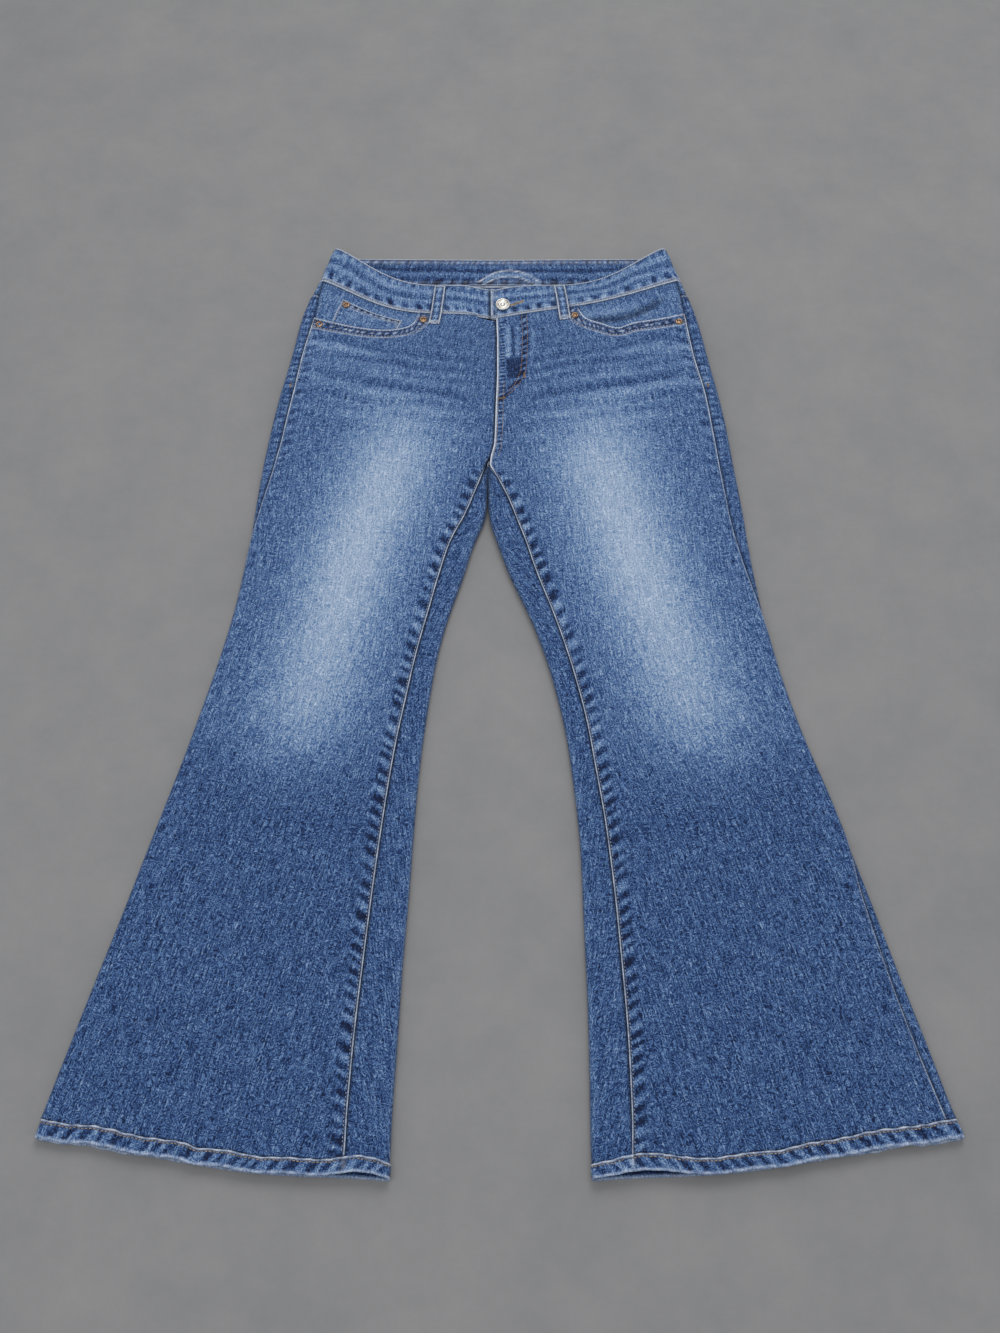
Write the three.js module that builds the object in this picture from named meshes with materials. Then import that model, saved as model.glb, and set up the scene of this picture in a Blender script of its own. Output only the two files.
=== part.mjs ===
// Flared jeans laid flat on their back, the fly up, the waist at +Y and the hems at -Y.
// Every panel follows one flattened skin: each half of the garment is folded over at its
// side, runs across the front on top and across the back on the floor, and each leg is
// folded over again along its inside. "Down" is the way from the waist seam to the hem,
// measured along Y at the outer edge. "Across" is the way over the cloth from the outer
// fold, above zero over the front and below zero under the back. The right half is the
// wearer's right, at -X.

import * as THREE from 'three';

// Cloth and seams, in millimetres
const DENIM = 1.2;
const WAISTBAND_THICK = 2.4;
const HEM_THICK = 2.4;
const SEAM_GAP = 0.3;
const UNDER_DENIM = DENIM + SEAM_GAP;

// Levels, as ways down from the waist seam
const WAIST_SEAM_Y = 490;
const MIDDLE_X = -4;
const BAND_TOP = -49;
const CROTCH = 254;
const HEM_SEAM = 971;
const HEM_EDGE = 988;

// The outer edge of each half: where it lies, how far in from the fold its side seam runs
// and how far the front sags towards the hems between the side and the middle.
const EDGE_COLUMNS = ['down', 'outX', 'sideSeam', 'sag'];
const EDGE = {
  right: table(EDGE_COLUMNS, [
    [-49, -200, 14, -24],
    [0, -215, 14, -19],
    [48, -231, 21, -9],
    [110, -241, 18, -3],
    [166, -251, 20, 0],
    [222, -259, 20, 0],
    [254, -262.5, 18, 0],
    [320, -267.5, 9, 0],
    [378, -272, 2, 0],
    [430, -278, 0, 0],
    [502, -291, 0, 0],
    [572, -307, 0, 0],
    [670, -332, 0, 0],
    [764, -357, 0, -2],
    [881, -388, 0, -4],
    [971, -412, 0, -7],
    [988, -416, 0, -7],
  ]),
  left: table(EDGE_COLUMNS, [
    [-49, 200, 14, -24],
    [0, 215, 14, -7],
    [48, 229.5, 20, -3],
    [110, 240.5, 22, 0],
    [166, 249, 20, 0],
    [222, 256, 21, 0],
    [254, 259, 21, 0],
    [320, 265.5, 20, 0],
    [378, 269.5, 14, 0],
    [430, 275, 7, 0],
    [502, 286, 0, 0],
    [572, 302, 0, 0],
    [670, 331.5, 0, 0],
    [764, 355, 10, -2],
    [881, 386.5, 15, -4],
    [971, 410, 13, -7],
    [988, 415.5, 13, -7],
  ]),
};

// The middle line of the trunk, at the fly on top and at the seat seam underneath
const RISE = table(['down', 'frontX', 'frontY', 'backX', 'backY'], [
  [-49, -5, 476, -4, 537],
  [0, -4.5, 433, -4, 494],
  [48, -3.5, 398, -4, 446],
  [110, -3.5, 357, -4, 384],
  [166, -5, 308, -5, 326],
  [222, -6.5, 259, -7.5, 262],
  [254, -13.5, 228, -13.5, 228],
]);

// The inner fold of each leg, and how far in from it the inseam lies on the front
const LEG_COLUMNS = ['down', 'inX', 'inY', 'inseam'];
const LEG = {
  right: table(LEG_COLUMNS, [
    [254, -13.5, 228, 1.8],
    [286, -13.7, 197, 12],
    [320, -14, 163, 23],
    [346, -26, 136, 26],
    [378, -36, 98, 26],
    [430, -54, 38, 22],
    [502, -70, -40, 22.5],
    [572, -78, -114, 27],
    [670, -85, -214, 32],
    [764, -89.5, -310, 36.5],
    [881, -95, -430, 40],
    [971, -97, -521, 41.5],
    [988, -97, -539, 42],
  ]),
  left: table(LEG_COLUMNS, [
    [254, -13.5, 228, 1.8],
    [286, -13.4, 197, 17],
    [320, -13, 163, 29],
    [346, -5, 136, 31],
    [378, 7, 98, 29],
    [430, 32, 38, 24.5],
    [502, 55, -40, 23],
    [572, 69, -114, 23],
    [670, 77.5, -214, 27.5],
    [764, 80.5, -310, 32],
    [881, 81, -430, 37],
    [971, 81, -521, 37.5],
    [988, 81, -539, 37],
  ]),
};

// How high the garment lies: the underside's lift over the back pockets and loops, and
// the top of the front beside the outer edge and beside the middle or the inner fold
const HEIGHT = table(['down', 'lift', 'highOut', 'highIn'], [
  [-49, 1.5, 25, 20],
  [0, 1.5, 22, 19.5],
  [48, 1.5, 19.5, 18],
  [110, 1.5, 17.5, 17],
  [166, 1.5, 16.5, 16.5],
  [222, 1.5, 15.5, 16],
  [254, 1.5, 15, 15],
  [320, 0, 12.5, 13],
  [378, 0, 11.5, 12],
  [430, 0, 11, 11],
  [502, 0, 10.5, 10.5],
  [764, 0, 10, 10.5],
  [881, 0, 10, 11.5],
  [971, 0, 10, 13.5],
  [988, 0, 10.5, 14.5],
]);

// A fold's half-width against its half-height, and how the sag leans to one side
const FOLD_RATIO = 0.8;
const TRUNK_SAG_LEAN = 0.85;
const LEG_SAG_LEAN = 1.3;

// Around the crotch: where the seat seam starts to rise between the legs, where the
// cloth between them is folded whole, and the notch that the four panels leave
const SEAT_RISES = 55;
const FOLD_FORMS = 60;
const NOTCH_LENGTH = 14;
const NOTCH_WIDTH = 1.8;
const TURN_OVER = 4;

// Pockets, as ways down and across
const POCKET = {
  right: { corner: 137, depth: 53, droop: 0, droopAcross: 98, facingDepth: 2.9 },
  left: { corner: 139, depth: 48, droop: 9, droopAcross: 99, facingDepth: 4.2 },
};
const POCKET_SQUARENESS = 3;
const DROOP_WIDTH = 14;
const COIN_POCKET = { from: 42, to: 117, down: 13, slope: 0.08, thick: 1.1 };
const YOKE_AT_SIDE = 22;
const YOKE_AT_MIDDLE = 68;
const BACK_POCKET = { fromMiddle: 114, topY: 412, width: 142, foot: 124, side: 118, point: 146 };

// Fly and waistband end
const FLY_LAP = 14;
const FLY_LAP_ENDS = 118;
const FLY_LEVEL = 126;
const FLY_TRIM = 5;
const BAND_LAP = 6;
const BAND_UNDERLAP = 24;
const ZIP = { width: 24, beyond: 5, from: 2, to: 112, thick: 1.1 };

// Belt loops
const LOOP = { width: 13, thick: 1.4, acrossTop: 144, acrossFoot: 156, from: -47, to: 23 };
const BACK_LOOP = { length: 52, thick: 1.2, topY: 535, sideX: 104 };

// Metal pieces
const BUTTON = { radius: 8.5, height: 3.4, down: -19, fromMiddle: 8 };
const RIVET = { radius: 4.5, height: 1.6, hole: 1.7 };

// Rows that the front and the back share, so that their edges stay parallel
const TRUNK = [90, 104, 118, 126, 166, 199, 222];
const CROTCH_ROWS = [CROTCH - NOTCH_LENGTH, 247, CROTCH, CROTCH + TURN_OVER, 266, 280, 300];
const LEG_ROWS = [320, 346, 378, 430, 502, 572, 670, 764, 881, HEM_SEAM - SEAM_GAP / 2];

/** Turns rows of numbers into a table that remembers its column names. */
function table(columns, rows) {
  const slopes = rows.map(() => new Array(columns.length).fill(0));
  for (let c = 1; c < columns.length; c++) {
    const steps = rows.slice(1).map((row, k) => (row[c] - rows[k][c]) / (row[0] - rows[k][0]));
    slopes[0][c] = steps[0];
    slopes[rows.length - 1][c] = steps[steps.length - 1];
    for (let k = 1; k < rows.length - 1; k++) {
      const before = rows[k][0] - rows[k - 1][0];
      const after = rows[k + 1][0] - rows[k][0];
      const product = steps[k - 1] * steps[k];
      const first = 2 * after + before;
      const second = after + 2 * before;
      const mean = (first + second) / (first / steps[k - 1] + second / steps[k]);
      slopes[k][c] = product > 0 ? mean : 0;
    }
  }
  return { columns, rows, slopes };
}

/** Reads a table at any way down by a cubic curve that never overshoots its rows. */
function read(from, down) {
  const { columns, rows, slopes } = from;
  let k = 0;
  while (k < rows.length - 2 && down > rows[k + 1][0]) {
    k += 1;
  }
  const span = rows[k + 1][0] - rows[k][0];
  const t = THREE.MathUtils.clamp((down - rows[k][0]) / span, 0, 1);
  const start = 2 * t ** 3 - 3 * t ** 2 + 1;
  const out = t ** 3 - 2 * t ** 2 + t;
  const end = 3 * t ** 2 - 2 * t ** 3;
  const into = t ** 3 - t ** 2;
  const values = {};
  for (let c = 1; c < columns.length; c++) {
    values[columns[c]] = start * rows[k][c] + out * span * slopes[k][c]
      + end * rows[k + 1][c] + into * span * slopes[k + 1][c];
  }
  return values;
}

/** A soft step from 0 to 1 between two values. */
function soft(from, to, value) {
  return THREE.MathUtils.smoothstep(value, from, to);
}

/** Length of a quarter of an ellipse. */
function quarter(wide, high) {
  return Math.PI / 2 * Math.sqrt((wide * wide + high * high) / 2);
}

/** All the measures of one half's section at one way down. */
function sectionAt(side, down) {
  const edge = read(EDGE[side], down);
  const rise = read(RISE, down);
  const leg = read(LEG[side], down);
  const height = read(HEIGHT, down);
  const isLeg = down >= CROTCH;
  const outer = new THREE.Vector2(edge.outX, WAIST_SEAM_Y - down);
  const fold = new THREE.Vector2(leg.inX, leg.inY);
  const front = isLeg ? fold : new THREE.Vector2(rise.frontX, rise.frontY);
  const back = isLeg ? fold : new THREE.Vector2(rise.backX, rise.backY);
  const outHalf = (height.highOut - height.lift) / 2;
  const inHalf = (height.highIn - height.lift) / 2;
  const outWide = FOLD_RATIO * outHalf;
  const outArc = quarter(outWide, outHalf);
  const topHalf = inHalf * soft(CROTCH, CROTCH + FOLD_FORMS, down);
  const topArc = quarter(FOLD_RATIO * topHalf, topHalf);
  const lowHalf = inHalf * soft(CROTCH - SEAT_RISES, CROTCH, down);
  const lowArc = quarter(FOLD_RATIO * lowHalf, lowHalf);
  const frontWide = outer.distanceTo(front) - SEAM_GAP / 2;
  const backWide = outer.distanceTo(back) - SEAM_GAP / 2;
  const notch = NOTCH_WIDTH * soft(CROTCH - NOTCH_LENGTH, CROTCH, down);
  return {
    ...edge, ...height, isLeg, outer, front, back, outHalf, outWide, outArc, topHalf, topArc, lowHalf,
    lowArc, frontWide, backWide,
    topWide: FOLD_RATIO * topHalf,
    lowWide: FOLD_RATIO * lowHalf,
    inset: isLeg ? leg.inseam : notch,
    wall: height.highIn - topHalf - height.lift - lowHalf,
    overFront: outArc + frontWide - outWide - FOLD_RATIO * topHalf + topArc,
    underBack: outArc + backWide - outWide - FOLD_RATIO * lowHalf + lowArc,
  };
}

/** Place on the front from the outer fold inwards: how far in from the fold, and how high. */
function onFront(at, across, depth) {
  if (across < at.outArc) {
    const turn = across / at.outArc * Math.PI / 2;
    const inward = at.outWide - (at.outWide - depth) * Math.cos(turn);
    return [inward, at.lift + at.outHalf + (at.outHalf - depth) * Math.sin(turn)];
  }
  const arcStart = at.overFront - at.topArc;
  if (across > arcStart && at.topArc > 0) {
    const turn = Math.min((across - arcStart) / at.topArc, 1) * Math.PI / 2;
    const inward = at.frontWide - at.topWide + (at.topWide - depth) * Math.sin(turn);
    return [inward, at.highIn - at.topHalf + (at.topHalf - depth) * Math.cos(turn)];
  }
  const inward = at.outWide + across - at.outArc;
  const part = THREE.MathUtils.clamp((inward - at.outWide) / (at.frontWide - at.outWide), 0, 1);
  return [inward, THREE.MathUtils.lerp(at.highOut, at.highIn, part) - depth];
}

/** Place under the back from the outer fold inwards, as far as the inner fold's top. */
function underBack(at, under, depth) {
  if (under < at.outArc) {
    const turn = under / at.outArc * Math.PI / 2;
    const inward = at.outWide - (at.outWide - depth) * Math.cos(turn);
    return [inward, at.lift + at.outHalf - (at.outHalf - depth) * Math.sin(turn)];
  }
  const arcStart = at.underBack - at.lowArc;
  if (under <= arcStart) {
    return [at.outWide + under - at.outArc, at.lift + depth];
  }
  if (under < at.underBack) {
    const turn = (under - arcStart) / at.lowArc * Math.PI / 2;
    const inward = at.backWide - at.lowWide + (at.lowWide - depth) * Math.sin(turn);
    return [inward, at.lift + at.lowHalf - (at.lowHalf - depth) * Math.cos(turn)];
  }
  return [at.backWide - depth, at.lift + at.lowHalf + under - at.underBack];
}

/** A point of the skin, or of a layer that lies "depth" below its outside. */
function skin(side, down, across, depth) {
  const at = sectionAt(side, down);
  const turned = -across > at.underBack + at.wall;
  const onTop = across >= 0 || turned;
  const overTop = turned ? at.overFront + across + at.underBack + at.wall : across;
  const [inward, z] = onTop ? onFront(at, overTop, depth) : underBack(at, -across, depth);
  const inner = onTop ? at.front : at.back;
  const way = inner.clone().sub(at.outer);
  const part = THREE.MathUtils.clamp(inward / way.length(), 0, 1);
  const lean = at.isLeg ? LEG_SAG_LEAN : TRUNK_SAG_LEAN;
  const sag = onTop || at.isLeg ? at.sag * Math.sin(Math.PI * part ** lean) ** 2 : 0;
  const place = way.normalize().multiplyScalar(inward).add(at.outer);
  return new THREE.Vector3(place.x, place.y + sag, z);
}

/** A point of the front, "reach" past the middle, which continues on the other half. */
function pastMiddle(side, down, reach, depth) {
  const on = reach <= 0 ? side : { right: 'left', left: 'right' }[side];
  return skin(on, down, sectionAt(on, down).overFront - Math.abs(reach), depth);
}

/** How far down the pocket opening is at a way across; 0 where there is none. */
function pocketDown(side, across) {
  const { corner, depth, droop, droopAcross } = POCKET[side];
  const start = read(EDGE[side], 0).sideSeam;
  const part = THREE.MathUtils.clamp((across - start) / (corner - start), 0, 1);
  const curve = (1 - part ** POCKET_SQUARENESS) ** (1 / POCKET_SQUARENESS);
  const sink = droop * Math.exp(-(((across - droopAcross) / DROOP_WIDTH) ** 2));
  return curve * (depth + sink);
}

/** Closes a grid of outer and inner points into one solid sheet. */
function sheet(outside, inside, closedRound) {
  const high = outside.length;
  const wide = outside[0].length;
  const points = [...outside.flat(), ...inside.flat()];
  const inner = high * wide;
  const faces = [];
  const quad = (a, b, c, d) => faces.push(a, b, c, a, c, d);
  const lastColumn = closedRound ? wide : wide - 1;
  for (let i = 0; i < high - 1; i++) {
    for (let j = 0; j < lastColumn; j++) {
      const next = (j + 1) % wide;
      const [a, b, c, d] = [i * wide + j, i * wide + next, (i + 1) * wide + next, (i + 1) * wide + j];
      quad(a, d, c, b);
      quad(inner + a, inner + b, inner + c, inner + d);
    }
  }
  for (let j = 0; j < lastColumn; j++) {
    const next = (j + 1) % wide;
    const foot = (high - 1) * wide;
    quad(j, next, inner + next, inner + j);
    quad(foot + next, foot + j, inner + foot + j, inner + foot + next);
  }
  for (let i = 0; i < high - 1 && !closedRound; i++) {
    const [a, b] = [i * wide, (i + 1) * wide];
    quad(b, a, inner + a, inner + b);
    const [c, d] = [a + wide - 1, b + wide - 1];
    quad(c, d, inner + d, inner + c);
  }
  const geometry = new THREE.BufferGeometry();
  geometry.setAttribute('position', new THREE.Float32BufferAttribute(points.flatMap((p) => p.toArray()), 3));
  geometry.setIndex(outward(points, faces));
  return geometry;
}

/** Turns every face round if the solid came out inside out. */
function outward(points, faces) {
  let volume = 0;
  for (let k = 0; k < faces.length; k += 3) {
    const [a, b, c] = [points[faces[k]], points[faces[k + 1]], points[faces[k + 2]]];
    volume += a.dot(b.clone().cross(c));
  }
  return volume > 0 ? faces : faces.slice().reverse();
}

/** A cloth piece over rows and columns; each place gives the two points of its wall. */
function cloth(rows, columns, place, closedRound = false) {
  const grid = rows.map((row, i) => columns.map((column, j) => place(row, column, i, j)));
  const outside = grid.map((line) => line.map((pair) => pair[0]));
  const inside = grid.map((line) => line.map((pair) => pair[1]));
  return sheet(outside, inside, closedRound);
}

/** Even steps from one value to another. */
function steps(from, to, count) {
  return Array.from({ length: count + 1 }, (_, k) => from + (to - from) * k / count);
}

/** How far the right front runs under the left one at the fly. */
function flyLap(side, down) {
  return side === 'right' ? FLY_LAP * (1 - soft(FLY_LAP_ENDS - 25, FLY_LAP_ENDS, down)) : 0;
}

/** How deep the right front lies below the left one near the fly. */
function flySunk(side, down, reach) {
  const lapped = side === 'right' ? 1 - soft(FLY_LAP_ENDS, FLY_LEVEL, down) : 0;
  return UNDER_DENIM * lapped * soft(-18, -10, reach);
}

/** Front panel: from the pocket opening to the hem, side seam to fly and inseam. */
function frontPanel(side) {
  const columns = [0, 0.012, 0.024, 0.04, 0.13, 0.22, 0.3, 0.38, 0.44, 0.49, 0.53, 0.56, 0.61, 0.7, 0.8,
    0.91, 0.955, 1];
  const topRows = [0, 0.3, 0.65];
  const rows = [...topRows, ...TRUNK, ...CROTCH_ROWS, ...LEG_ROWS];
  const acrossAt = (down, column) => {
    const at = sectionAt(side, down);
    const start = at.sideSeam + SEAM_GAP / 2;
    const end = at.overFront - (at.isLeg ? at.topArc - at.topWide : 0) - at.inset;
    return start + (end - start) * column + (column === 1 ? flyLap(side, down) : 0);
  };
  return cloth(rows, columns, (row, column, i) => {
    let down = row;
    if (i < topRows.length) {
      const trim = side === 'right' && column > 0.9 ? FLY_TRIM : SEAM_GAP / 2;
      const top = Math.max(pocketDown(side, acrossAt(30, column)), trim);
      down = top + (TRUNK[0] - top) * row;
    }
    const across = acrossAt(down, column);
    const reach = across - sectionAt(side, down).overFront;
    const sunk = flySunk(side, down, reach);
    const place = (depth) => {
      return down < CROTCH ? pastMiddle(side, down, reach, depth) : skin(side, down, across, depth);
    };
    return [place(sunk), place(sunk + DENIM)];
  });
}

/** How far under the back its panels reach at a way down: seat seam, crotch, then inseam. */
function backReach(at, down) {
  const toTop = at.wall - UNDER_DENIM;
  const seat = at.underBack + toTop * soft(CROTCH - NOTCH_LENGTH, CROTCH, down);
  const inseam = at.underBack + at.wall + at.topArc + at.inset - at.topWide - SEAM_GAP;
  const turned = soft(CROTCH, CROTCH + TURN_OVER, down);
  return down <= CROTCH ? seat : THREE.MathUtils.lerp(at.underBack + toTop, inseam, turned);
}

/** Ways across of the back's columns: side, fold, floor, inner fold and inseam strip. */
function backColumns(side, down) {
  const at = sectionAt(side, down);
  const reach = backReach(at, down);
  const formed = soft(CROTCH - SEAT_RISES, CROTCH + TURN_OVER, down);
  const foldEnds = THREE.MathUtils.lerp(reach - 12, at.underBack + at.wall + at.topArc, formed);
  const strip = Math.min(foldEnds, reach - 1);
  const foldStarts = THREE.MathUtils.lerp(reach - 40, at.underBack - at.lowArc, formed);
  const floor = Math.min(foldStarts, strip - 4);
  const around = steps(at.sideSeam - SEAM_GAP / 2, -at.outArc, 5);
  const flat = steps(-at.outArc, -floor, 6).slice(1);
  const fold = steps(-floor, -strip, 5).slice(1);
  const last = steps(-strip, -reach, 2).slice(1);
  return [...around, ...flat, ...fold, ...last];
}

/** The yoke seam's way down at a column of the back. */
function yokeDown(side, across) {
  const at = sectionAt(side, YOKE_AT_MIDDLE);
  const part = THREE.MathUtils.clamp(-across / at.underBack, 0, 1);
  return THREE.MathUtils.lerp(YOKE_AT_SIDE, YOKE_AT_MIDDLE, part);
}

/** Back panel: from the yoke to the hem, under the leg and up round its inner fold. */
function backPanel(side) {
  const topRows = [0, 0.5];
  const rows = [...topRows, ...TRUNK, ...CROTCH_ROWS, ...LEG_ROWS];
  const columns = backColumns(side, TRUNK[0]);
  return cloth(rows, columns, (row, column, i, j) => {
    let down = row;
    if (i < topRows.length) {
      const top = yokeDown(side, column) + SEAM_GAP / 2;
      down = top + (TRUNK[0] - top) * row;
    }
    const across = backColumns(side, down)[j];
    return [skin(side, down, across, 0), skin(side, down, across, DENIM)];
  });
}

/** Yoke: the shaped strip between the back panel and the waistband. */
function yoke(side) {
  const columns = backColumns(side, 0);
  return cloth([0, 0.5, 1], columns, (row, column, i, j) => {
    const end = yokeDown(side, backColumns(side, TRUNK[0])[j]) - SEAM_GAP / 2;
    const down = THREE.MathUtils.lerp(SEAM_GAP / 2, end, row);
    const across = backColumns(side, down)[j];
    return [skin(side, down, across, 0), skin(side, down, across, DENIM)];
  });
}

/** Waistband: one strip from its buttoned end round both sides to the end under it. */
function waistband() {
  const drop = WAISTBAND_THICK + SEAM_GAP;
  const parts = [
    ['left', 'front', [BAND_LAP, 0, -20, -60, -100, -140]],
    ['left', 'fold', [1.6, 1, 0.66, 0.33, 0, -0.33, -0.66, -1]],
    ['left', 'back', [0.25, 0.5, 0.75, 0.99]],
    ['right', 'back', [0.99, 0.75, 0.5, 0.25]],
    ['right', 'fold', [-1, -0.66, -0.33, 0, 0.33, 0.66, 1, 1.6]],
    ['right', 'front', [-140, -100, -60, -40, -32, -24, -16, -10, 0, BAND_UNDERLAP]],
  ];
  const columns = parts.flatMap(([side, kind, values]) => values.map((value) => ({ side, kind, value })));
  return cloth([BAND_TOP, BAND_TOP / 2, -SEAM_GAP / 2], columns, (down, { side, kind, value }) => {
    const at = sectionAt(side, down);
    if (kind === 'front') {
      const sunk = side === 'right' ? drop * soft(-40, -16, value) : 0;
      return [pastMiddle(side, down, value, sunk), pastMiddle(side, down, value, sunk + WAISTBAND_THICK)];
    }
    const under = at.outArc + (at.underBack - at.outArc) * value;
    const across = kind === 'fold' ? at.outArc * value : -under;
    return [skin(side, down, across, 0), skin(side, down, across, WAISTBAND_THICK)];
  });
}

/** Hem: the turned-up end of a leg, a closed ring. */
function hem(side) {
  const rows = [HEM_SEAM + SEAM_GAP / 2, HEM_EDGE];
  const around = [
    ...steps(0, 1, 3).slice(0, -1).map((part) => ['outArc', part]),
    ...steps(0, 1, 8).slice(0, -1).map((part) => ['top', part]),
    ...steps(0, 1, 3).slice(0, -1).map((part) => ['topArc', part]),
    ...steps(0, 1, 3).slice(0, -1).map((part) => ['lowArc', part]),
    ...steps(0, 1, 8).slice(0, -1).map((part) => ['floor', part]),
    ...steps(0, 1, 3).slice(0, -1).map((part) => ['underArc', part]),
  ];
  return cloth(rows, around, (down, [kind, part]) => {
    const at = sectionAt(side, down);
    const topEnds = at.overFront - at.topArc;
    const floorEnds = at.underBack - at.lowArc;
    const across = {
      outArc: at.outArc * part,
      top: THREE.MathUtils.lerp(at.outArc, topEnds, part),
      topArc: topEnds + at.topArc * part,
      lowArc: -at.underBack + at.lowArc * part,
      floor: -THREE.MathUtils.lerp(floorEnds, at.outArc, part),
      underArc: -at.outArc * (1 - part),
    }[kind];
    return [skin(side, down, across, 0), skin(side, down, across, HEM_THICK)];
  }, true);
}

/** Denim behind a pocket opening, sunk below the front and level with it at its seams. */
function pocketFacing(side) {
  const { corner, facingDepth } = POCKET[side];
  const seam = read(EDGE[side], 0).sideSeam;
  const columns = [seam - 4, seam + 9, ...steps(seam + 24, corner - 12, 4), corner - 2, corner + 9];
  return cloth([0, 0.2, 0.6, 1], columns, (row, across, i, j) => {
    const foot = pocketDown(side, across) + 12;
    const down = i === 1 ? Math.min(8, foot / 2) : THREE.MathUtils.lerp(SEAM_GAP / 2, foot, row);
    const free = i > 0 && j > 0 && j < columns.length - 1;
    const depth = free ? facingDepth : UNDER_DENIM + SEAM_GAP;
    const shifted = across + read(EDGE[side], down).sideSeam - seam;
    return [skin(side, down, shifted, depth), skin(side, down, shifted, depth + DENIM)];
  });
}

/** Coin pocket: a small patch on the right facing that runs down behind the opening. */
function coinPocket() {
  const { from, to, down: top, slope, thick } = COIN_POCKET;
  return cloth([0, 0.5, 1], steps(from, to, 4), (row, across) => {
    const down = THREE.MathUtils.lerp(top + (across - from) * slope, pocketDown('right', across) + 8, row);
    return [skin('right', down, across, UNDER_DENIM), skin('right', down, across, UNDER_DENIM + thick)];
  });
}

/** Zip behind the fly: its tape and teeth as one closed strip. */
function flyZip() {
  const depth = 2 * UNDER_DENIM;
  return cloth(steps(ZIP.from, ZIP.to, 4), [-ZIP.width, -ZIP.width / 2, -1, ZIP.beyond], (down, reach) => [
    pastMiddle('left', down, reach, depth),
    pastMiddle('left', down, reach, depth + ZIP.thick),
  ]);
}

/** Belt loop on the front: a flat strip from the band's top edge to just below its seam. */
function frontLoop(side) {
  return cloth(steps(LOOP.from, LOOP.to, 4), [-LOOP.width / 2, LOOP.width / 2], (down, offset) => {
    const part = (down - LOOP.from) / (LOOP.to - LOOP.from);
    const across = THREE.MathUtils.lerp(LOOP.acrossTop, LOOP.acrossFoot, part) + offset;
    return [skin(side, down, across, -SEAM_GAP - LOOP.thick), skin(side, down, across, -SEAM_GAP)];
  });
}

/** Belt loop under the back waistband, where it rests on the floor. */
function backLoop(x) {
  const geometry = new THREE.BoxGeometry(LOOP.width, BACK_LOOP.length, BACK_LOOP.thick);
  geometry.translate(x, BACK_LOOP.topY - BACK_LOOP.length / 2, BACK_LOOP.thick / 2);
  return geometry;
}

/** Back pocket: a five-sided patch under the seat, where it rests on the floor. */
function backPocket(direction) {
  const { fromMiddle, topY, width, foot, side, point } = BACK_POCKET;
  const shape = new THREE.Shape();
  shape.moveTo(-width / 2, 0);
  shape.lineTo(-foot / 2, -side);
  shape.lineTo(0, -point);
  shape.lineTo(foot / 2, -side);
  shape.lineTo(width / 2, 0);
  shape.closePath();
  const geometry = new THREE.ExtrudeGeometry(shape, { depth: DENIM, bevelEnabled: false });
  geometry.translate(MIDDLE_X + direction * fromMiddle, topY, 0);
  return geometry;
}

/** A turned metal piece from its outline, radius against height. */
function turned(outline, segments) {
  const points = outline.map(([radius, height]) => new THREE.Vector2(radius, height));
  const geometry = new THREE.LatheGeometry(points, segments);
  geometry.rotateX(Math.PI / 2);
  return geometry;
}

/** Shank button: a flat cap with a raised rim. */
function button() {
  const { radius, height } = BUTTON;
  return turned([[0, 0], [radius - 2, 0], [radius, 1.2], [radius, height - 0.8], [radius - 0.8, height],
    [radius - 1.8, height], [radius - 2.4, height - 0.5], [0, height - 0.2]], 24);
}

/** Rivet: a low ring with a sunk middle. */
function rivet() {
  const { radius, height, hole } = RIVET;
  return turned([[0, 0], [radius, 0], [radius, 0.5], [radius - 1.2, height], [hole + 0.4, height],
    [hole, height / 2], [0, height / 2]], 12);
}

// Finishes
const denim = { color: 0x46689a, roughness: 0.9, metalness: 0 };
const denimDark = { color: 0x33507e, roughness: 0.9, metalness: 0 };
const tape = { color: 0x2c3a55, roughness: 0.9, metalness: 0 };
const silver = { color: 0xd9d6ce, roughness: 0.35, metalness: 0.9 };
const copper = { color: 0xb9794d, roughness: 0.4, metalness: 0.9 };

const jeans = new THREE.Group();

/** Adds one named piece with its own material. */
function add(name, geometry, finish, position = new THREE.Vector3()) {
  const mesh = new THREE.Mesh(geometry, new THREE.MeshStandardMaterial(finish));
  mesh.name = name;
  mesh.position.copy(position);
  jeans.add(mesh);
}

for (const [side, direction] of [['right', -1], ['left', 1]]) {
  add(`front_${side}`, frontPanel(side), denim);
  add(`back_${side}`, backPanel(side), denimDark);
  add(`yoke_${side}`, yoke(side), denim);
  add(`hem_${side}`, hem(side), denim);
  add(`pocket_facing_${side}`, pocketFacing(side), denimDark);
  add(`back_pocket_${side}`, backPocket(direction), denim);
  add(`belt_loop_front_${side}`, frontLoop(side), denim);
  add(`belt_loop_back_${side}`, backLoop(MIDDLE_X + direction * BACK_LOOP.sideX), denim);
}
add('belt_loop_back_center', backLoop(MIDDLE_X), denim);
add('waistband', waistband(), denim);
add('coin_pocket', coinPocket(), denim);
add('fly_zip', flyZip(), tape);
add('button', button(), silver, pastMiddle('left', BUTTON.down, -BUTTON.fromMiddle, -SEAM_GAP - 0.1));

// Rivets: name, half, way down, way across and the depth of the cloth they sit on
const rivets = [
  ['rivet_side_right', 'right', 61, 29, 0],
  ['rivet_side_left', 'left', 58, 29, 0],
  ['rivet_top_right', 'right', 15, 141, 0],
  ['rivet_top_left', 'left', 18, 143, 0],
  ['rivet_coin_pocket', 'right', 20, 49, UNDER_DENIM],
];
for (const [name, side, down, across, depth] of rivets) {
  add(name, rivet(), copper, skin(side, down, across, depth - SEAM_GAP));
}

export default jeans;
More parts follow.
